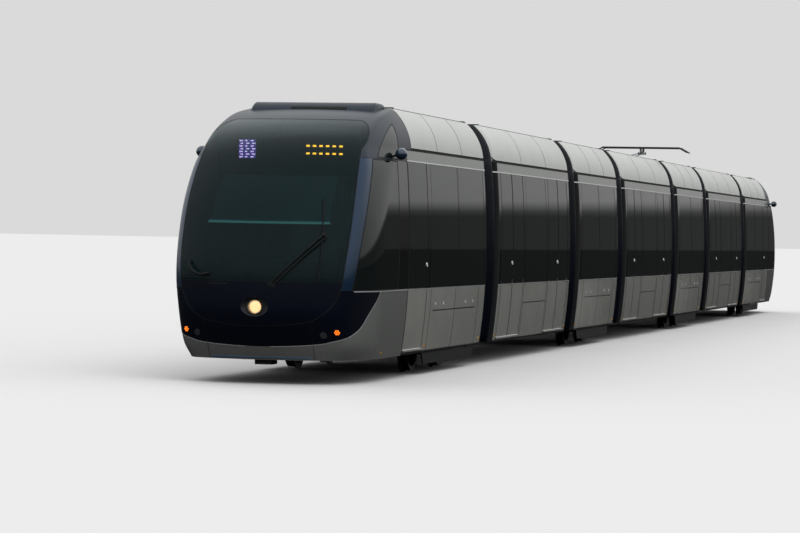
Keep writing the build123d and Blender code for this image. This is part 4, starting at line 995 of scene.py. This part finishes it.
class TRAM_OT_nose_glass(bpy.types.Operator):
    """Windscreens, cab side panes, their black borders and seals, and the headlight panels"""
    bl_idname = "tram.nose_glass"
    bl_label = "Nose glass"

    def execute(self, context):
        screen = chart_faces(screen_outline(GLASS_GAP, SCREEN_FOOT + 1), [])
        border = chart_faces(screen_outline(2, SCREEN_FOOT + 2), [screen_outline(34, SCREEN_FOOT + 26, 1500)])
        header, panes, seals, windows, blind_glow = (Shape() for _ in range(5))
        rows = []
        for y in np.linspace(-430, 430, 25):
            x = display_x(y) - 4
            rows.append([(x, y, 1200), (x, y, DISPLAY_TOP), (x - 4, y, DISPLAY_TOP), (x - 4, y, 1200)])
        header.loft(rows, closed=True)
        low = [point for point in mask_edge(GLASS_GAP) if point[1] < v_of(SCREEN_FOOT) - 4]
        right = [point for point in low if point[0] >= 0]
        left = [point for point in low if point[0] < 0]
        brim = v_of(SCREEN_FOOT - GLASS_GAP)
        mask_low = right + [(right[-1][0] + 1, brim), (left[0][0] - 1, brim)] + left
        mask = chart_faces(mask_low, [chart_oval(0, HEADLIGHT_Z, 80, 54)])
        for table, sign in PANES:
            panes.plate(chart_faces(pane_edge(table, GLASS_GAP, sign), []), 0, GLASS_THICK)
            ribbon(seals, pane_edge(table, 0, sign), 8, 0.7, 4, closed=True)
        ribbon(seals, mask_edge(0), 5, 0.7, 4, closed=True)
        ribbon(seals, front_level(SCREEN_FOOT, -476, 476, 24), JOINT, 0, 4)
        ribbon(seals, front_level(577, -286, -168, 6), 9, 0, 3)
        for x0, x1 in WINDOWS["cab"] + [CAB_DOOR_PANE]:
            windows.side_patch(x0 + GLASS_GAP, x1 - GLASS_GAP, WAIST + GLASS_GAP, WINDOW_TOP - GLASS_GAP,
                               0, GLASS_THICK)
        blind = chart_faces([at_y(y, z) for y, z in ((-368, 955), (392, 955), (392, 1240), (-330, 1240))], [])
        # A pale green glowing strip under the blind: painted light, not a lamp
        ribbon(blind_glow, front_level(951, -372, 396, 20), 12, -54, 9)
        pieces = {
            "windscreen": (skin_shape(*screen, 0, GLASS_THICK), "tinted_windscreen", "tinted_glass"),
            "screen_border": (skin_shape(*border, -8.3, 1.2), "black_bonded_glass", "tinted_glass"),
            "display_header": (header, "grained_abs"),
            "headlight_panel": (skin_shape(*mask, 0, 9), "midnight_gelcoat"),
            "cab_panes": (panes, "tinted_side_glass", "tinted_glass"),
            "glass_seals": (seals, "epdm_rubber"),
            "saloon_panes": (windows, "tinted_side_glass", "tinted_glass"),
            "blind": (skin_shape(*blind, -60, 2), "blind_cloth"),
            "glowing_blind_edge": (blind_glow, "glowing_blind_edge"),
        }
        for end, car in ENDS:
            made = {name: end_piece(end, name, *how) for name, how in pieces.items()}
            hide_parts(f"glazing_{car}")
            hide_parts(f"{end}_fittings")
        return {"FINISHED"}


class TRAM_OT_lamps(bpy.types.Operator):
    """Headlights, marker diodes, reflectors and the two displays behind each windscreen"""
    bl_idname = "tram.lamps"
    bl_label = "Lamps and displays"

    def execute(self, context):
        recess, bowl, lamp, lens, discs, prisms = (Shape() for _ in range(6))
        rows = [[tuple(nose_surface(s, v, deep)) for s, v in chart_oval(0, HEADLIGHT_Z, wide, high, 40)]
                for deep, wide, high in ((0.5, 80, 54), (-6, 76, 51), (-22, 62, 48), (-26, 44, 44))]
        recess.loft(rows + [[(x - 3, y, z) for x, y, z in row] for row in reversed(rows)], closed=True)
        middle, ahead = (nose_point(0, v_of(HEADLIGHT_Z))[0] - 30, 0, HEADLIGHT_Z), (1, 0, 0)
        bowl.turned(middle, ahead, [(-20, 0), (-20, 44), (14, 45), (19, 43), (19, 39), (14, 37), (-6, 8),
                                    (-6, 0)], 40)
        lamp.turned(middle, ahead, [(-5, 0), (-5, 30), (8, 34), (12, 24), (14, 0)], 32)
        lens.turned(middle, ahead, [(17, 0), (17, 38), (20, 38), (25, 24), (27, 0)], 40)
        dots = []
        for sign in (1, -1):
            s, v = at_y(sign * MARKER[0], MARKER[1])
            discs.plate(chart_faces(chart_oval(sign * MARKER[0], MARKER[1], 21, 21), [], step=9), 2, 8)
            dots += [tuple(nose_surface(s + 12 * math.cos(turn), v + 12 * math.sin(turn), 3))
                     for turn in turns(6)]
            dots.append(tuple(nose_surface(s, v, 3)))
            prisms.plate(chart_faces(chart_oval(sign * REFLECTOR[0], REFLECTOR[1], 20, 20), [], step=9), 3, 9)

        pitch = context.scene.tram.dot_pitch / MM
        lines = [1312 + 15.7 * row for row in range(7)]
        violet = [(display_x(y), y, z) for z in lines for y in range(-273, -174, 14)]
        white = [(display_x(y) + 2, y, z) for row, z in enumerate(lines)
                 for y in (at + 8 * (row % 2) for at in (-264, -227, -190))]
        orange = [(display_x(y), y, z) for z in (1336, 1380)
                  for y in (149 + pitch * step for step in range(int(190 / pitch) + 1))]
        for end, _ in ENDS:
            front = end == "front"
            end_piece(end, "headlight_recess", recess, "grained_abs")
            end_piece(end, "headlight_bowl", bowl, "aluminised_bowl")
            end_piece(end, "headlight_lamp", lamp, "warm_lamp" if front else "grey_prism_reflector")
            end_piece(end, "headlight_lens", lens, "clear_lens", "tinted_glass")
            end_piece(end, "marker_housings", discs, "grained_abs")
            end_piece(end, "reflectors", prisms, "grey_prism_reflector")
            end_repeat(end, "marker_diodes", "peg", dots, (4.2, 4.2, 5), (0, math.pi / 2, 0),
                       "marker_diode" if front else "red_diode")
            for name, places, size, diode in (
                    ("line_display", violet, (2, 13.5, 15.2), "violet_diode"),
                    ("line_display_rows", white, (3, 21, 5), "white_diode"),
                    ("destination_display", orange, (3, 20, 10), "amber_diode")):
                end_repeat(end, name, "block", places, size, (0, 0, 0), diode)
        return {"FINISHED"}


class TRAM_OT_nose_fittings(bpy.types.Operator):
    """Wiper, grab handle, rear-view cameras, hood and what stands in the cab"""
    bl_idname = "tram.nose_fittings"
    bl_label = "Nose fittings"

    def execute(self, context):
        wiper, handle, pods, lenses, hood, desk = (Shape() for _ in range(6))
        # Two arms from their two spindles, then the blade's bar, its rubber and the joint between
        for shift in (-9, 9):
            wiper.tube([on_nose(y + shift, z - shift * lean, out) for y, z, lean, out in (
                (97, 573, 0.5, -1.7), (150, 627, 0.5, 9), (282, 762, 0.5, 22), (371, 852, 0.6, 20))], 5, 10)
        for y, z in ((88, 577), (106, 569)):
            wiper.turned(on_nose(y, z, 0), (1, 0, 0.05), [(-6, 0), (-6, 15), (1, 14), (3, 8), (3.4, 0)], 20)
        for more, out, radius, sides in ((0, 12, 4.5, 10), (5, 5, 2.5, 8)):
            blade = [(334, 1062 + more), (347, 955), (357, 862), (359, 740), (354, 608 - more)]
            wiper.tube([on_nose(y, z, out) for y, z in blade], radius, sides)
        wiper.tube([on_nose(362, 846, 20), on_nose(358, 866, 14)], 11, 10)

        path = eased([(-418, 697), (-398, 661), (-364, 635), (-324, 623), (-288, 631)], 4)
        handle.tube([on_nose(y, z, 4 + 26 * math.sin(math.pi * index / (len(path) - 1))**0.5)
                     for index, (y, z) in enumerate(path)], 7, 12)
        for y, z in ((-418, 697), (-288, 631)):
            handle.turned(on_nose(y, z, 0), (0.95, -0.3, 0.05), [(0, 0), (0, 12), (6, 10), (8, 0)], 16)

        side = float(side_width(CAMERA_Z))
        ball = [(38 * -math.cos(turn), 38 * math.sin(turn) * (0.97 if turn < math.pi / 2 else 0.92))
                for turn in turns(28)[:15]]
        for sign in (1, -1):
            pods.turned((CAB_LENGTH - CAMERA_BACK, sign * CAMERA_Y, CAMERA_Z), (1, 0, 0), ball, 28)
            pods.tube([(CAB_LENGTH - back, sign * y, CAMERA_Z + lift) for back, y, lift in (
                (1080, side - 4, 0), (1076, side + 22, 1), (1050, 616, 1), (970, 617, 0))], 9, 12)
            pods.turned((CAB_LENGTH - 1080, sign * (side - 6), CAMERA_Z), (0, sign, 0),
                        [(0, 0), (0, 17), (7, 15), (9, 0)], 20)
            lenses.turned((CAB_LENGTH - CAMERA_BACK - 30, sign * CAMERA_Y, CAMERA_Z), (-1, 0, 0),
                          [(0, 0), (0, 20), (5, 17), (7.5, 0)], 20)

        side_view = [(1160, 1600), (1178, 1626), (1205, 1646), (1232, 1660), (1262, 1667.5), (1420, 1667.5),
                     (1420, 1600)]
        hood.loft([[(CAB_LENGTH - back - (low if back < 1300 else 0), y, z - (low if z > 1610 else 0))
                    for back, z in side_view]
                   for y, low in ((-392, 22), (-386, 9), (-372, 0), (372, 0), (386, 9), (392, 22))])
        slats = [(CAB_LENGTH - back, 42, z) for back, z in ((1179, 1627.5), (1187, 1633.5), (1195, 1639.5))]

        desk.box(CAB_LENGTH - 560, CAB_LENGTH - 470, -130, 130, 560, 612)
        desk.box(CAB_LENGTH - 600, CAB_LENGTH - 520, 190, 300, 556, 640)
        desk.tube([(CAB_LENGTH - 610, -220, 540), (CAB_LENGTH - 616, -220, 606)], 7, 10)
        desk.turned((CAB_LENGTH - 616, -220, 606), (0, 0, 1),
                    [(-4, 0), (-2, 14), (8, 18), (18, 10), (20, 0)], 16)
        for end, _ in ENDS:
            end_piece(end, "wiper", wiper, "epdm_rubber")
            end_piece(end, "grab_handle", handle, "epdm_rubber")
            end_piece(end, "camera_pods", pods, "housing_gloss_paint")
            end_piece(end, "camera_lenses", lenses, "black_bonded_glass")
            end_piece(end, "hood", hood, "crown_silver_paint", smooth=24)
            end_repeat(end, "hood_louvres", "block", slats, (8, 345, 3),
                       (0, 0.45 if end == "front" else -0.45, 0), "black_anodised_aluminium")
            end_piece(end, "desk_controls", desk, "grained_abs", "seat_fabric", bevel=3)
        return {"FINISHED"}


def body_span(kind):
    """Where a kind of car begins and ends along its own x."""
    return (END_GAP if kind == "cab" else -BODY_END[kind]), BODY_END[kind]


def gaps_between(kind):
    """Stretches of the glass band that no window and no door takes."""
    place, high = body_span(kind)
    stretches = []
    for x0, x1 in sorted(WINDOWS[kind] + [doorway[:2] for doorway in DOORWAYS[kind]]):
        stretches.append((place, x0))
        place = x1
    return [(x0, x1) for x0, x1 in stretches + [(place, high)] if x1 - x0 > 2]


def side_sheet(shape, kind, x0, x1, z0, z1, out, thick):
    """A plate on both sides of a car that also follows its rounded ends."""
    low, high = body_span(kind)
    ends = [(low, 1)] if kind == "cab" else [(low, 1), (high, -1)]
    inner = list(np.linspace(x0, x1, max(2, int((x1 - x0) / 200) + 1)))
    for end, inward in ends:
        curve = [end + inward * END_ROUNDING * (1 - math.cos(k * math.pi / 16)) for k in range(9)]
        inner += [x for x in curve if x0 < x < x1]

    def rounding(x):
        near = max([END_ROUNDING - abs(x - end) for end, _ in ends] + [0])
        return END_ROUNDING - math.sqrt(max(END_ROUNDING**2 - near**2, 0))

    xs = sorted({round(float(x), 3) for x in inner})
    for sign in (1, -1):
        rows = []
        for z in np.linspace(z0, z1, max(2, int((z1 - z0) / 60) + 1)):
            wide = float(side_width(z))
            outer = [(x, sign * (wide + out - rounding(x)), z) for x in xs]
            rows.append(outer + [(x, y - sign * thick, z) for x, y, z in reversed(outer)])
        shape.loft(rows)


class TRAM_OT_side_dressing(bpy.types.Operator):
    """Glass band, trims, seals, joints, locks and markers on the sides of every car"""
    bl_idname = "tram.side_dressing"
    bl_label = "Sides"

    def execute(self, context):
        for number, (kind, _, _) in CAR.items():
            low, high = body_span(kind)
            band, glass, seals, trim, sill, marks, locks = (Shape() for _ in range(7))
            for x0, x1 in gaps_between(kind):
                side_sheet(glass, kind, max(x0, low + 1) + 1, x1 - 1, WAIST, WINDOW_TOP, 0.5, 1.4)
            for strip, z0, z1, out, thick in (
                    (band, WINDOW_TOP + 6, WALL_TOP - 1, 0.6, 1.4),
                    (trim, WINDOW_TOP, WINDOW_TOP + 7.5, 2.2, 3),
                    (trim, WAIST - 7, WAIST - 3, 1.4, 2.4), (seals, WAIST - 3, WAIST, 0.8, 2),
                    (seals, WALL_TOP - 6, WALL_TOP, 2.2, 4), (sill, SILL, SILL + 14, 0.8, 3)):
                side_sheet(strip, kind, low + 1, high, z0, z1, out, thick)
            for x in (x for window in WINDOWS[kind] for x in window):
                seals.side_patch(x - 1.6, x + 1.6, WAIST, WINDOW_TOP, 0.9, 3)
            for x0, x1, leaves in DOORWAYS[kind]:
                for x in (x0, x1):
                    seals.side_patch(x - 3, x + 3, DOOR_FOOT, DOOR_TOP, 1.2, 4)
                opening = (x0 + x1) / 2 if leaves == 2 else x0
                if leaves == 2:
                    seals.side_patch(opening - 4.5, opening + 4.5, DOOR_FOOT + 2, DOOR_TOP - 4, 1.4, 4)
                for sign in (1, -1):
                    locks.turned((opening + 34, sign * (float(side_width(LOCK_Z)) - 2), LOCK_Z), (0, sign, 0),
                                 [(0, 0), (0, 15), (5, 14), (6.5, 11), (5, 10), (5, 0)], 20)
            if kind == "suspended":
                flap, joints = (-437, 437), (-1330, -437, 437, 1330)
            else:
                # The skirt over the bogie, with its four locks
                middle = BOGIE_PLACE if kind == "cab" else 0
                flap, joints = (middle - 640, middle + 640), (middle - 716, middle, middle + 716)
                for x in (-560, -330, 330, 560):
                    for sign in (1, -1):
                        locks.turned((middle + x, sign * (float(side_width(440)) - 3), 440), (0, sign, 0),
                                     [(0, 0), (0, 14), (4.5, 13), (5, 0)], 16)
            side_sheet(seals, kind, *flap, 399, 405, 0.9, 3)
            for x in joints:
                seals.side_patch(x - 2, x + 2, SILL + 2, WAIST - 3, 0.9, 3)
            side_sheet(seals, kind, low + 0.5, low + END_BAND, SILL, WALL_TOP, 1.8, 3.5)
            if kind != "cab":
                side_sheet(seals, kind, high - END_BAND, high - 0.5, SILL, WALL_TOP, 1.8, 3.5)
            for x in (low + 80, 1900 if kind == "cab" else high - 80):
                marks.side_patch(x - 14, x + 14, 180, 193, 2.6, 4)
            for name, shape, finish, slot in (
                    ("grey_band", band, "grey_band_paint", "side_paint"),
                    ("glass_band", glass, "black_bonded_glass", "tinted_glass"),
                    ("side_seals", seals, "epdm_rubber", "fittings"),
                    ("bright_strips", trim, "brushed_stainless_steel", "fittings"),
                    ("sill_strips", sill, "black_anodised_aluminium", "fittings"),
                    ("side_markers", marks, "amber_acrylic", "fittings"),
                    ("locks_and_buttons", locks, "brushed_stainless_steel", "fittings")):
                if shape.points:
                    car_piece(number, name, shape, finish, slot)
        return {"FINISHED"}


class TRAM_OT_roof_dressing(bpy.types.Operator):
    """Cove joints, brackets, cables, fan guards and bolts on every roof"""
    bl_idname = "tram.roof_dressing"
    bl_label = "Roofs"

    def execute(self, context):
        count = context.scene.tram.guard_slats
        for number, (kind, _, _) in CAR.items():
            low, high = body_span(kind)
            margin = END_BAND
            if kind == "cab":
                high, margin = CAB_LENGTH - ROOF_END, 2
            joints, brackets, cables, frames = (Shape() for _ in range(4))
            for part in (1 / 3, 2 / 3):
                x = low + (high - low) * part
                joints.cove_strip(x - 2, x + 2, 0.8, 3)
            for sign in (1, -1):
                joints.box(low + END_BAND, high - margin, sign * 434, sign * 440, ROOF_TOP - 2, ROOF_TOP + 1.5)
                for x in (low + 60, high - 60):
                    brackets.box(x - 22, x + 22, sign * 330, sign * 432, ROOF_TOP - 2, ROOF_TOP + 9)
            for y in (-352, -340, 346):
                cables.tube([(x, y + 3 * math.sin(x / 90), DECK + 8)
                             for x in np.arange(low + 70, high - 70, 45)], 6, 8)
            car_piece(number, "cove_joints", joints, "epdm_rubber")
            car_piece(number, "roof_brackets", brackets, "black_anodised_aluminium", bevel=2)
            car_piece(number, "roof_cables", cables, "epdm_rubber")

            slats, bolts = [], []
            for x in FANS[kind]:
                top = LOW_FAN_TOP if kind == "cab" and x > 1500 else FAN_TOP
                slats += [(x + FAN_HALF * (2 * (step + 0.5) / count - 1), 0, top + 5) for step in range(count)]
                for a in (-1, 1):
                    bolts += [(x + a * (FAN_HALF + 6), b * (FAN_HALF + 6), top + 8) for b in (-1, 1)]
                    near, far = a * FAN_HALF - 5, a * FAN_HALF + 5
                    frames.box(x + near, x + far, -FAN_HALF - 5, FAN_HALF + 5, top - 1, top + 7)
                    frames.box(x - FAN_HALF - 5, x + FAN_HALF + 5, near, far, top - 1, top + 7)
            if slats:
                car_piece(number, "fan_guard_frames", frames, "black_anodised_aluminium")
                repeat(f"fan_guards_{number}", "block", slats, (3.5, 2 * FAN_HALF, 6), (0, 0.5, 0),
                       "black_anodised_aluminium", f"car_{number}", car=number)
            for x0, x1, half in ROOF_UNITS[kind]:
                spaces = max(2, round((x1 - x0) / 180))
                bolts += [(x0 + (x1 - x0) * k / spaces, sign * (half + 5), DECK + 4)
                          for k in range(spaces + 1) for sign in (1, -1)]
            repeat(f"roof_bolts_{number}", "bolt", bolts, (7, 7, 9), (0, 0, 0), "brushed_stainless_steel",
                   f"car_{number}", car=number)
        return {"FINISHED"}


def ring_section(inset, low, top):
    """The gangway's outline at an inset from the cars', as a loop of y and z."""
    radius = COVE_RADIUS - inset
    right = [(y, low) for y in np.linspace(0, float(side_width(low)) - inset - 12, 6)]
    right += [(float(side_width(z)) - inset - max(0, 12 - (z - low)) * 0.6, z)
              for z in np.linspace(low + 6, WALL_TOP, 26)]
    limit = math.asin(min(1.0, (top - COVE_Z) / radius))
    right += [(COVE_Y + radius * math.cos(turn), COVE_Z + radius * math.sin(turn))
              for turn in np.linspace(math.asin(30 / radius), limit, 12)]
    right += [(y, top) for y in np.linspace(right[-1][0], 0, 8)[1:]]
    return right + [(-y, z) for y, z in reversed(right[1:-1])]


class TRAM_OT_bellows(bpy.types.Operator):
    """Pleated bellows round every gangway, between the two cars, and their end frames"""
    bl_idname = "tram.bellows"
    bl_label = "Bellows"

    def execute(self, context):
        pleats = context.scene.tram.pleats
        reach, bend = 168, 150
        for number, x in PIVOTS:
            rows = []
            for u in np.linspace(-reach, reach, 8 * pleats + 1):
                bulge = math.sqrt(max(0, 1 - (u / (reach + 8))**2))
                fold = 2.6 * math.cos(2 * math.pi * pleats * (u + reach) / (2 * reach))
                inset = 46 - 40 * bulge + fold
                section_here = ring_section(inset, 150 - 0.3 * bulge, ROOF_TOP - inset)
                rows.append([(x + u, y, z) for y, z in section_here])
            rows += [[(x + u, y, z) for y, z in ring_section(86, 166, 1352)] for u in (reach, 0, -reach)]
            tube = Shape()
            tube.loft(rows, closed=True)
            made = piece(f"bellows_{number}", tube, "coated_bellows_cloth", None, "bellows_rubber", smooth=50)
            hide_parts(f"gangway_{number}")
            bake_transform(made)
            for car, sign, side in ((number, 1, "ahead"), (number + 1, -1, "behind")):
                collar = Shape()
                collar.loft([[(x + sign * u, y, z) for y, z in ring_section(inset, low, top)]
                             for u, inset, low, top in ((174.5, 47, 146, 1595), (reach - 3, 47, 146, 1595),
                                                        (reach - 3, 92, 170, 1340), (174.5, 92, 170, 1340))],
                            closed=True)
                piece(f"gangway_frame_{number}_{side}", collar, "black_anodised_aluminium", f"car_{car}",
                      "bellows_rubber")
        return {"FINISHED"}


class TRAM_OT_running_gear(bpy.types.Operator):
    """Coil springs, dampers and hub bolts of the bogies"""
    bl_idname = "tram.running_gear"
    bl_label = "Running gear"

    def execute(self, context):
        coil = [(41 * math.cos(math.pi * k / 8), 41 * math.sin(math.pi * k / 8), 154 + 47 * k / 64)
                for k in range(65)]
        for index, (car, x) in enumerate(zip((1, 3, 5, 7), BOGIES)):
            springs = Shape()
            for middle in (x - 120, x + 120):
                for side in (-282.5, 282.5):
                    springs.tube([(middle + dx, side + dy, z) for dx, dy, z in coil], 4.5, 8)
            for along in (-1, 1):
                for side in (-325, 325):
                    for start, z, radius, sides in ((210, 196, 9, 10), (300, 187, 14, 12)):
                        springs.tube([(x + along * start, side, z), (x + along * 470, side, 168)],
                                     radius, sides)
            piece(f"bogie_springs_{index + 1}", springs, "primed_cast_steel", f"car_{car}", "bogie_paint")
            for number, axle in ((2 * index + 1, x + WHEELBASE / 2), (2 * index + 2, x - WHEELBASE / 2)):
                bolts = [(axle + 34 * math.cos(turn), sign * 411, WHEEL_HEIGHT + 34 * math.sin(turn))
                         for turn in turns(8) for sign in (1, -1)]
                repeat(f"hub_bolts_{number}", "bolt", bolts, (5, 5, 8), (math.pi / 2, 0, 0),
                       "primed_cast_steel", f"wheelset_{number}")
        return {"FINISHED"}


FLOOR_HALF = 500                                    # metres
FLOOR_TONES = (0.014, 0.66)                         # what the tram mirrors, and what the camera sees
SKY_STOPS = ((0.026, 0.05), (1.0, 1.0), (0.035, 0.42), (0.34, 0.9))   # height, tone: an overcast sky
# Name, strength, height and direction in degrees: a high soft sun from the front left, and a weak one
# from behind on the right
SUNS = (("key lamp", 1.1, 48, 35), ("back lamp", 0.5, 35, 215))
CAMERA_ANGLES = (13.406, 0.573, 1.1)                # degrees towards the side, down and of roll
CAMERA_AHEAD, CAMERA_ASIDE, CAMERA_HEIGHT = 16.37, 4.749, 0.862       # metres, ahead of the nose's tip


class TRAM_OT_stage(bpy.types.Operator):
    """Floor, world light, soft lamps and the camera at the photograph's angle"""
    bl_idname = "tram.stage"
    bl_label = "Stage and camera"

    def execute(self, context):
        scene = context.scene
        floor_mesh = bpy.data.meshes.new("floor")
        corners = [(x * FLOOR_HALF, y * FLOOR_HALF, 0) for x, y in ((-1, -1), (1, -1), (1, 1), (-1, 1))]
        floor_mesh.from_pydata(corners, [], [(0, 1, 2, 3)])
        floor = bpy.data.objects.new("floor", floor_mesh)
        scene.collection.objects.link(floor)
        paint = bpy.data.materials.new("pale_floor")
        paint.use_nodes = True
        shader = paint.node_tree.nodes["Principled BSDF"].inputs
        # Pale matt floor to the camera, dark wet ground to the tram's lower panels and windows
        seen = add(paint.node_tree, "ShaderNodeLightPath", {}, {}).outputs["Is Camera Ray"]
        tone = add(paint.node_tree, "ShaderNodeMix", {"data_type": "FLOAT"}, {
            0: seen, 2: FLOOR_TONES[0], 3: FLOOR_TONES[1]})
        paint.node_tree.links.new(tone.outputs[0], shader["Base Color"])
        shader["Specular IOR Level"].default_value = 0.0
        floor_mesh.materials.append(paint)

        world = bpy.data.worlds.new("soft studio")
        world.use_nodes = True
        tree = world.node_tree
        background = tree.nodes["Background"]
        seen = add(tree, "ShaderNodeLightPath", {}, {}).outputs["Is Camera Ray"]
        place = add(tree, "ShaderNodeTexCoord", {}, {}).outputs["Generated"]
        height = add(tree, "ShaderNodeSeparateXYZ", {}, {"Vector": place}).outputs["Z"]
        rise = add(tree, "ShaderNodeValToRGB", {}, {"Fac": height})
        stops = rise.color_ramp.elements
        for stop, (at, tone) in zip([stops[0], stops[1], stops.new(0.036), stops.new(0.34)], SKY_STOPS):
            stop.position, stop.color = at, (tone, tone, tone, 1.0)
        mix = add(tree, "ShaderNodeMix", {"data_type": "FLOAT"}, {0: seen, 2: rise.outputs["Color"], 3: 0.7})
        background.inputs["Color"].default_value = (1.0, 1.0, 1.0, 1.0)
        tree.links.new(mix.outputs[0], background.inputs["Strength"])
        scene.world = world

        for name, strength, steep, around in SUNS:
            light = bpy.data.lights.new(name, "SUN")
            light.energy, light.angle = strength, math.radians(40)
            lamp = bpy.data.objects.new(name, light)
            steep, around = math.radians(steep), math.radians(around)
            towards = Vector((math.cos(around), math.sin(around), math.tan(steep)))
            lamp.rotation_euler = (-towards).to_track_quat("-Z", "Y").to_euler()
            lamp.visible_glossy = False
            scene.collection.objects.link(lamp)

        turn, pitch, roll = (math.radians(angle) for angle in CAMERA_ANGLES)
        ahead = Vector((-math.cos(turn), -math.sin(turn), 0))
        right = Vector((-math.sin(turn), math.cos(turn), 0))
        down = Vector((0, 0, -1))
        look = ahead * math.cos(pitch) + down * math.sin(pitch)
        foot = down * math.cos(pitch) - ahead * math.sin(pitch)
        across = right * math.cos(roll) - foot * math.sin(roll)
        up = -(right * math.sin(roll) + foot * math.cos(roll))
        data = bpy.data.cameras.new("photo camera")
        data.lens, data.sensor_width, data.clip_end = 135, 36, 1500
        camera = bpy.data.objects.new("photo camera", data)
        matrix = Matrix((across, up, -look)).transposed().to_4x4()
        matrix.translation = Vector((NOSE_TIP * MM + CAMERA_AHEAD, CAMERA_ASIDE, CAMERA_HEIGHT))
        camera.matrix_world = matrix
        scene.collection.objects.link(camera)
        scene.camera = camera
        scene.view_settings.view_transform = "Standard"
        return {"FINISHED"}


class TramSettings(bpy.types.PropertyGroup):
    """Sizes of the tram's repeated details and its main colours"""
    pleats: bpy.props.IntProperty(
        name="Pleats", description="Folds in each bellows", default=13, min=6, max=24)
    guard_slats: bpy.props.IntProperty(
        name="Guard slats", description="Slats over each roof fan", default=15, min=6, max=30)
    dot_pitch: bpy.props.FloatProperty(
        name="Dot pitch", description="Spacing of the diodes in the destination display",
        default=0.037, min=0.022, unit="LENGTH", subtype="DISTANCE")
    side_colour: bpy.props.FloatVectorProperty(
        name="Side colour", description="Metallic paint of the cars' sides",
        default=linear(FINISHES["metallic_silver_paint"][0])[:3], min=0.0, max=1.0, subtype="COLOR")
    front_colour: bpy.props.FloatVectorProperty(
        name="Front colour", description="Gelcoat of the nose's front",
        default=linear(FINISHES["midnight_gelcoat"][0])[:3], min=0.0, max=1.0, subtype="COLOR")
    seat_colour: bpy.props.FloatVectorProperty(
        name="Seat colour", description="Moquette of the seats",
        default=linear(FINISHES["wool_moquette"][0])[:3], min=0.0, max=1.0, subtype="COLOR")


OPERATORS = [TRAM_OT_packed_parts, TRAM_OT_nose_panels, TRAM_OT_nose_glass, TRAM_OT_lamps,
             TRAM_OT_nose_fittings, TRAM_OT_side_dressing, TRAM_OT_roof_dressing, TRAM_OT_bellows,
             TRAM_OT_running_gear, TRAM_OT_stage]


class TRAM_PT_parts(bpy.types.Panel):
    """The tram's parts, in the order they are made"""
    bl_idname = "TRAM_PT_parts"
    bl_label = "Tram"
    bl_space_type = "VIEW_3D"
    bl_region_type = "UI"
    bl_category = "Tram"

    def draw(self, context):
        settings = context.scene.tram
        for name in ("pleats", "guard_slats", "dot_pitch", "side_colour", "front_colour", "seat_colour"):
            self.layout.prop(settings, name)
        for kind in OPERATORS:
            self.layout.operator(kind.bl_idname)


def register():
    """Register the settings, the operators and the panel."""
    for kind in (TramSettings, *OPERATORS, TRAM_PT_parts):
        bpy.utils.register_class(kind)
    bpy.types.Scene.tram = bpy.props.PointerProperty(type=TramSettings)


def unregister():
    """Take them out again."""
    del bpy.types.Scene.tram
    for kind in reversed((TramSettings, *OPERATORS, TRAM_PT_parts)):
        bpy.utils.unregister_class(kind)


def main():
    """Make the whole tram and its stage."""
    register()
    for kind in OPERATORS:
        group, name = kind.bl_idname.split(".")
        getattr(getattr(bpy.ops, group), name)()


if __name__ == "__main__":
    main()
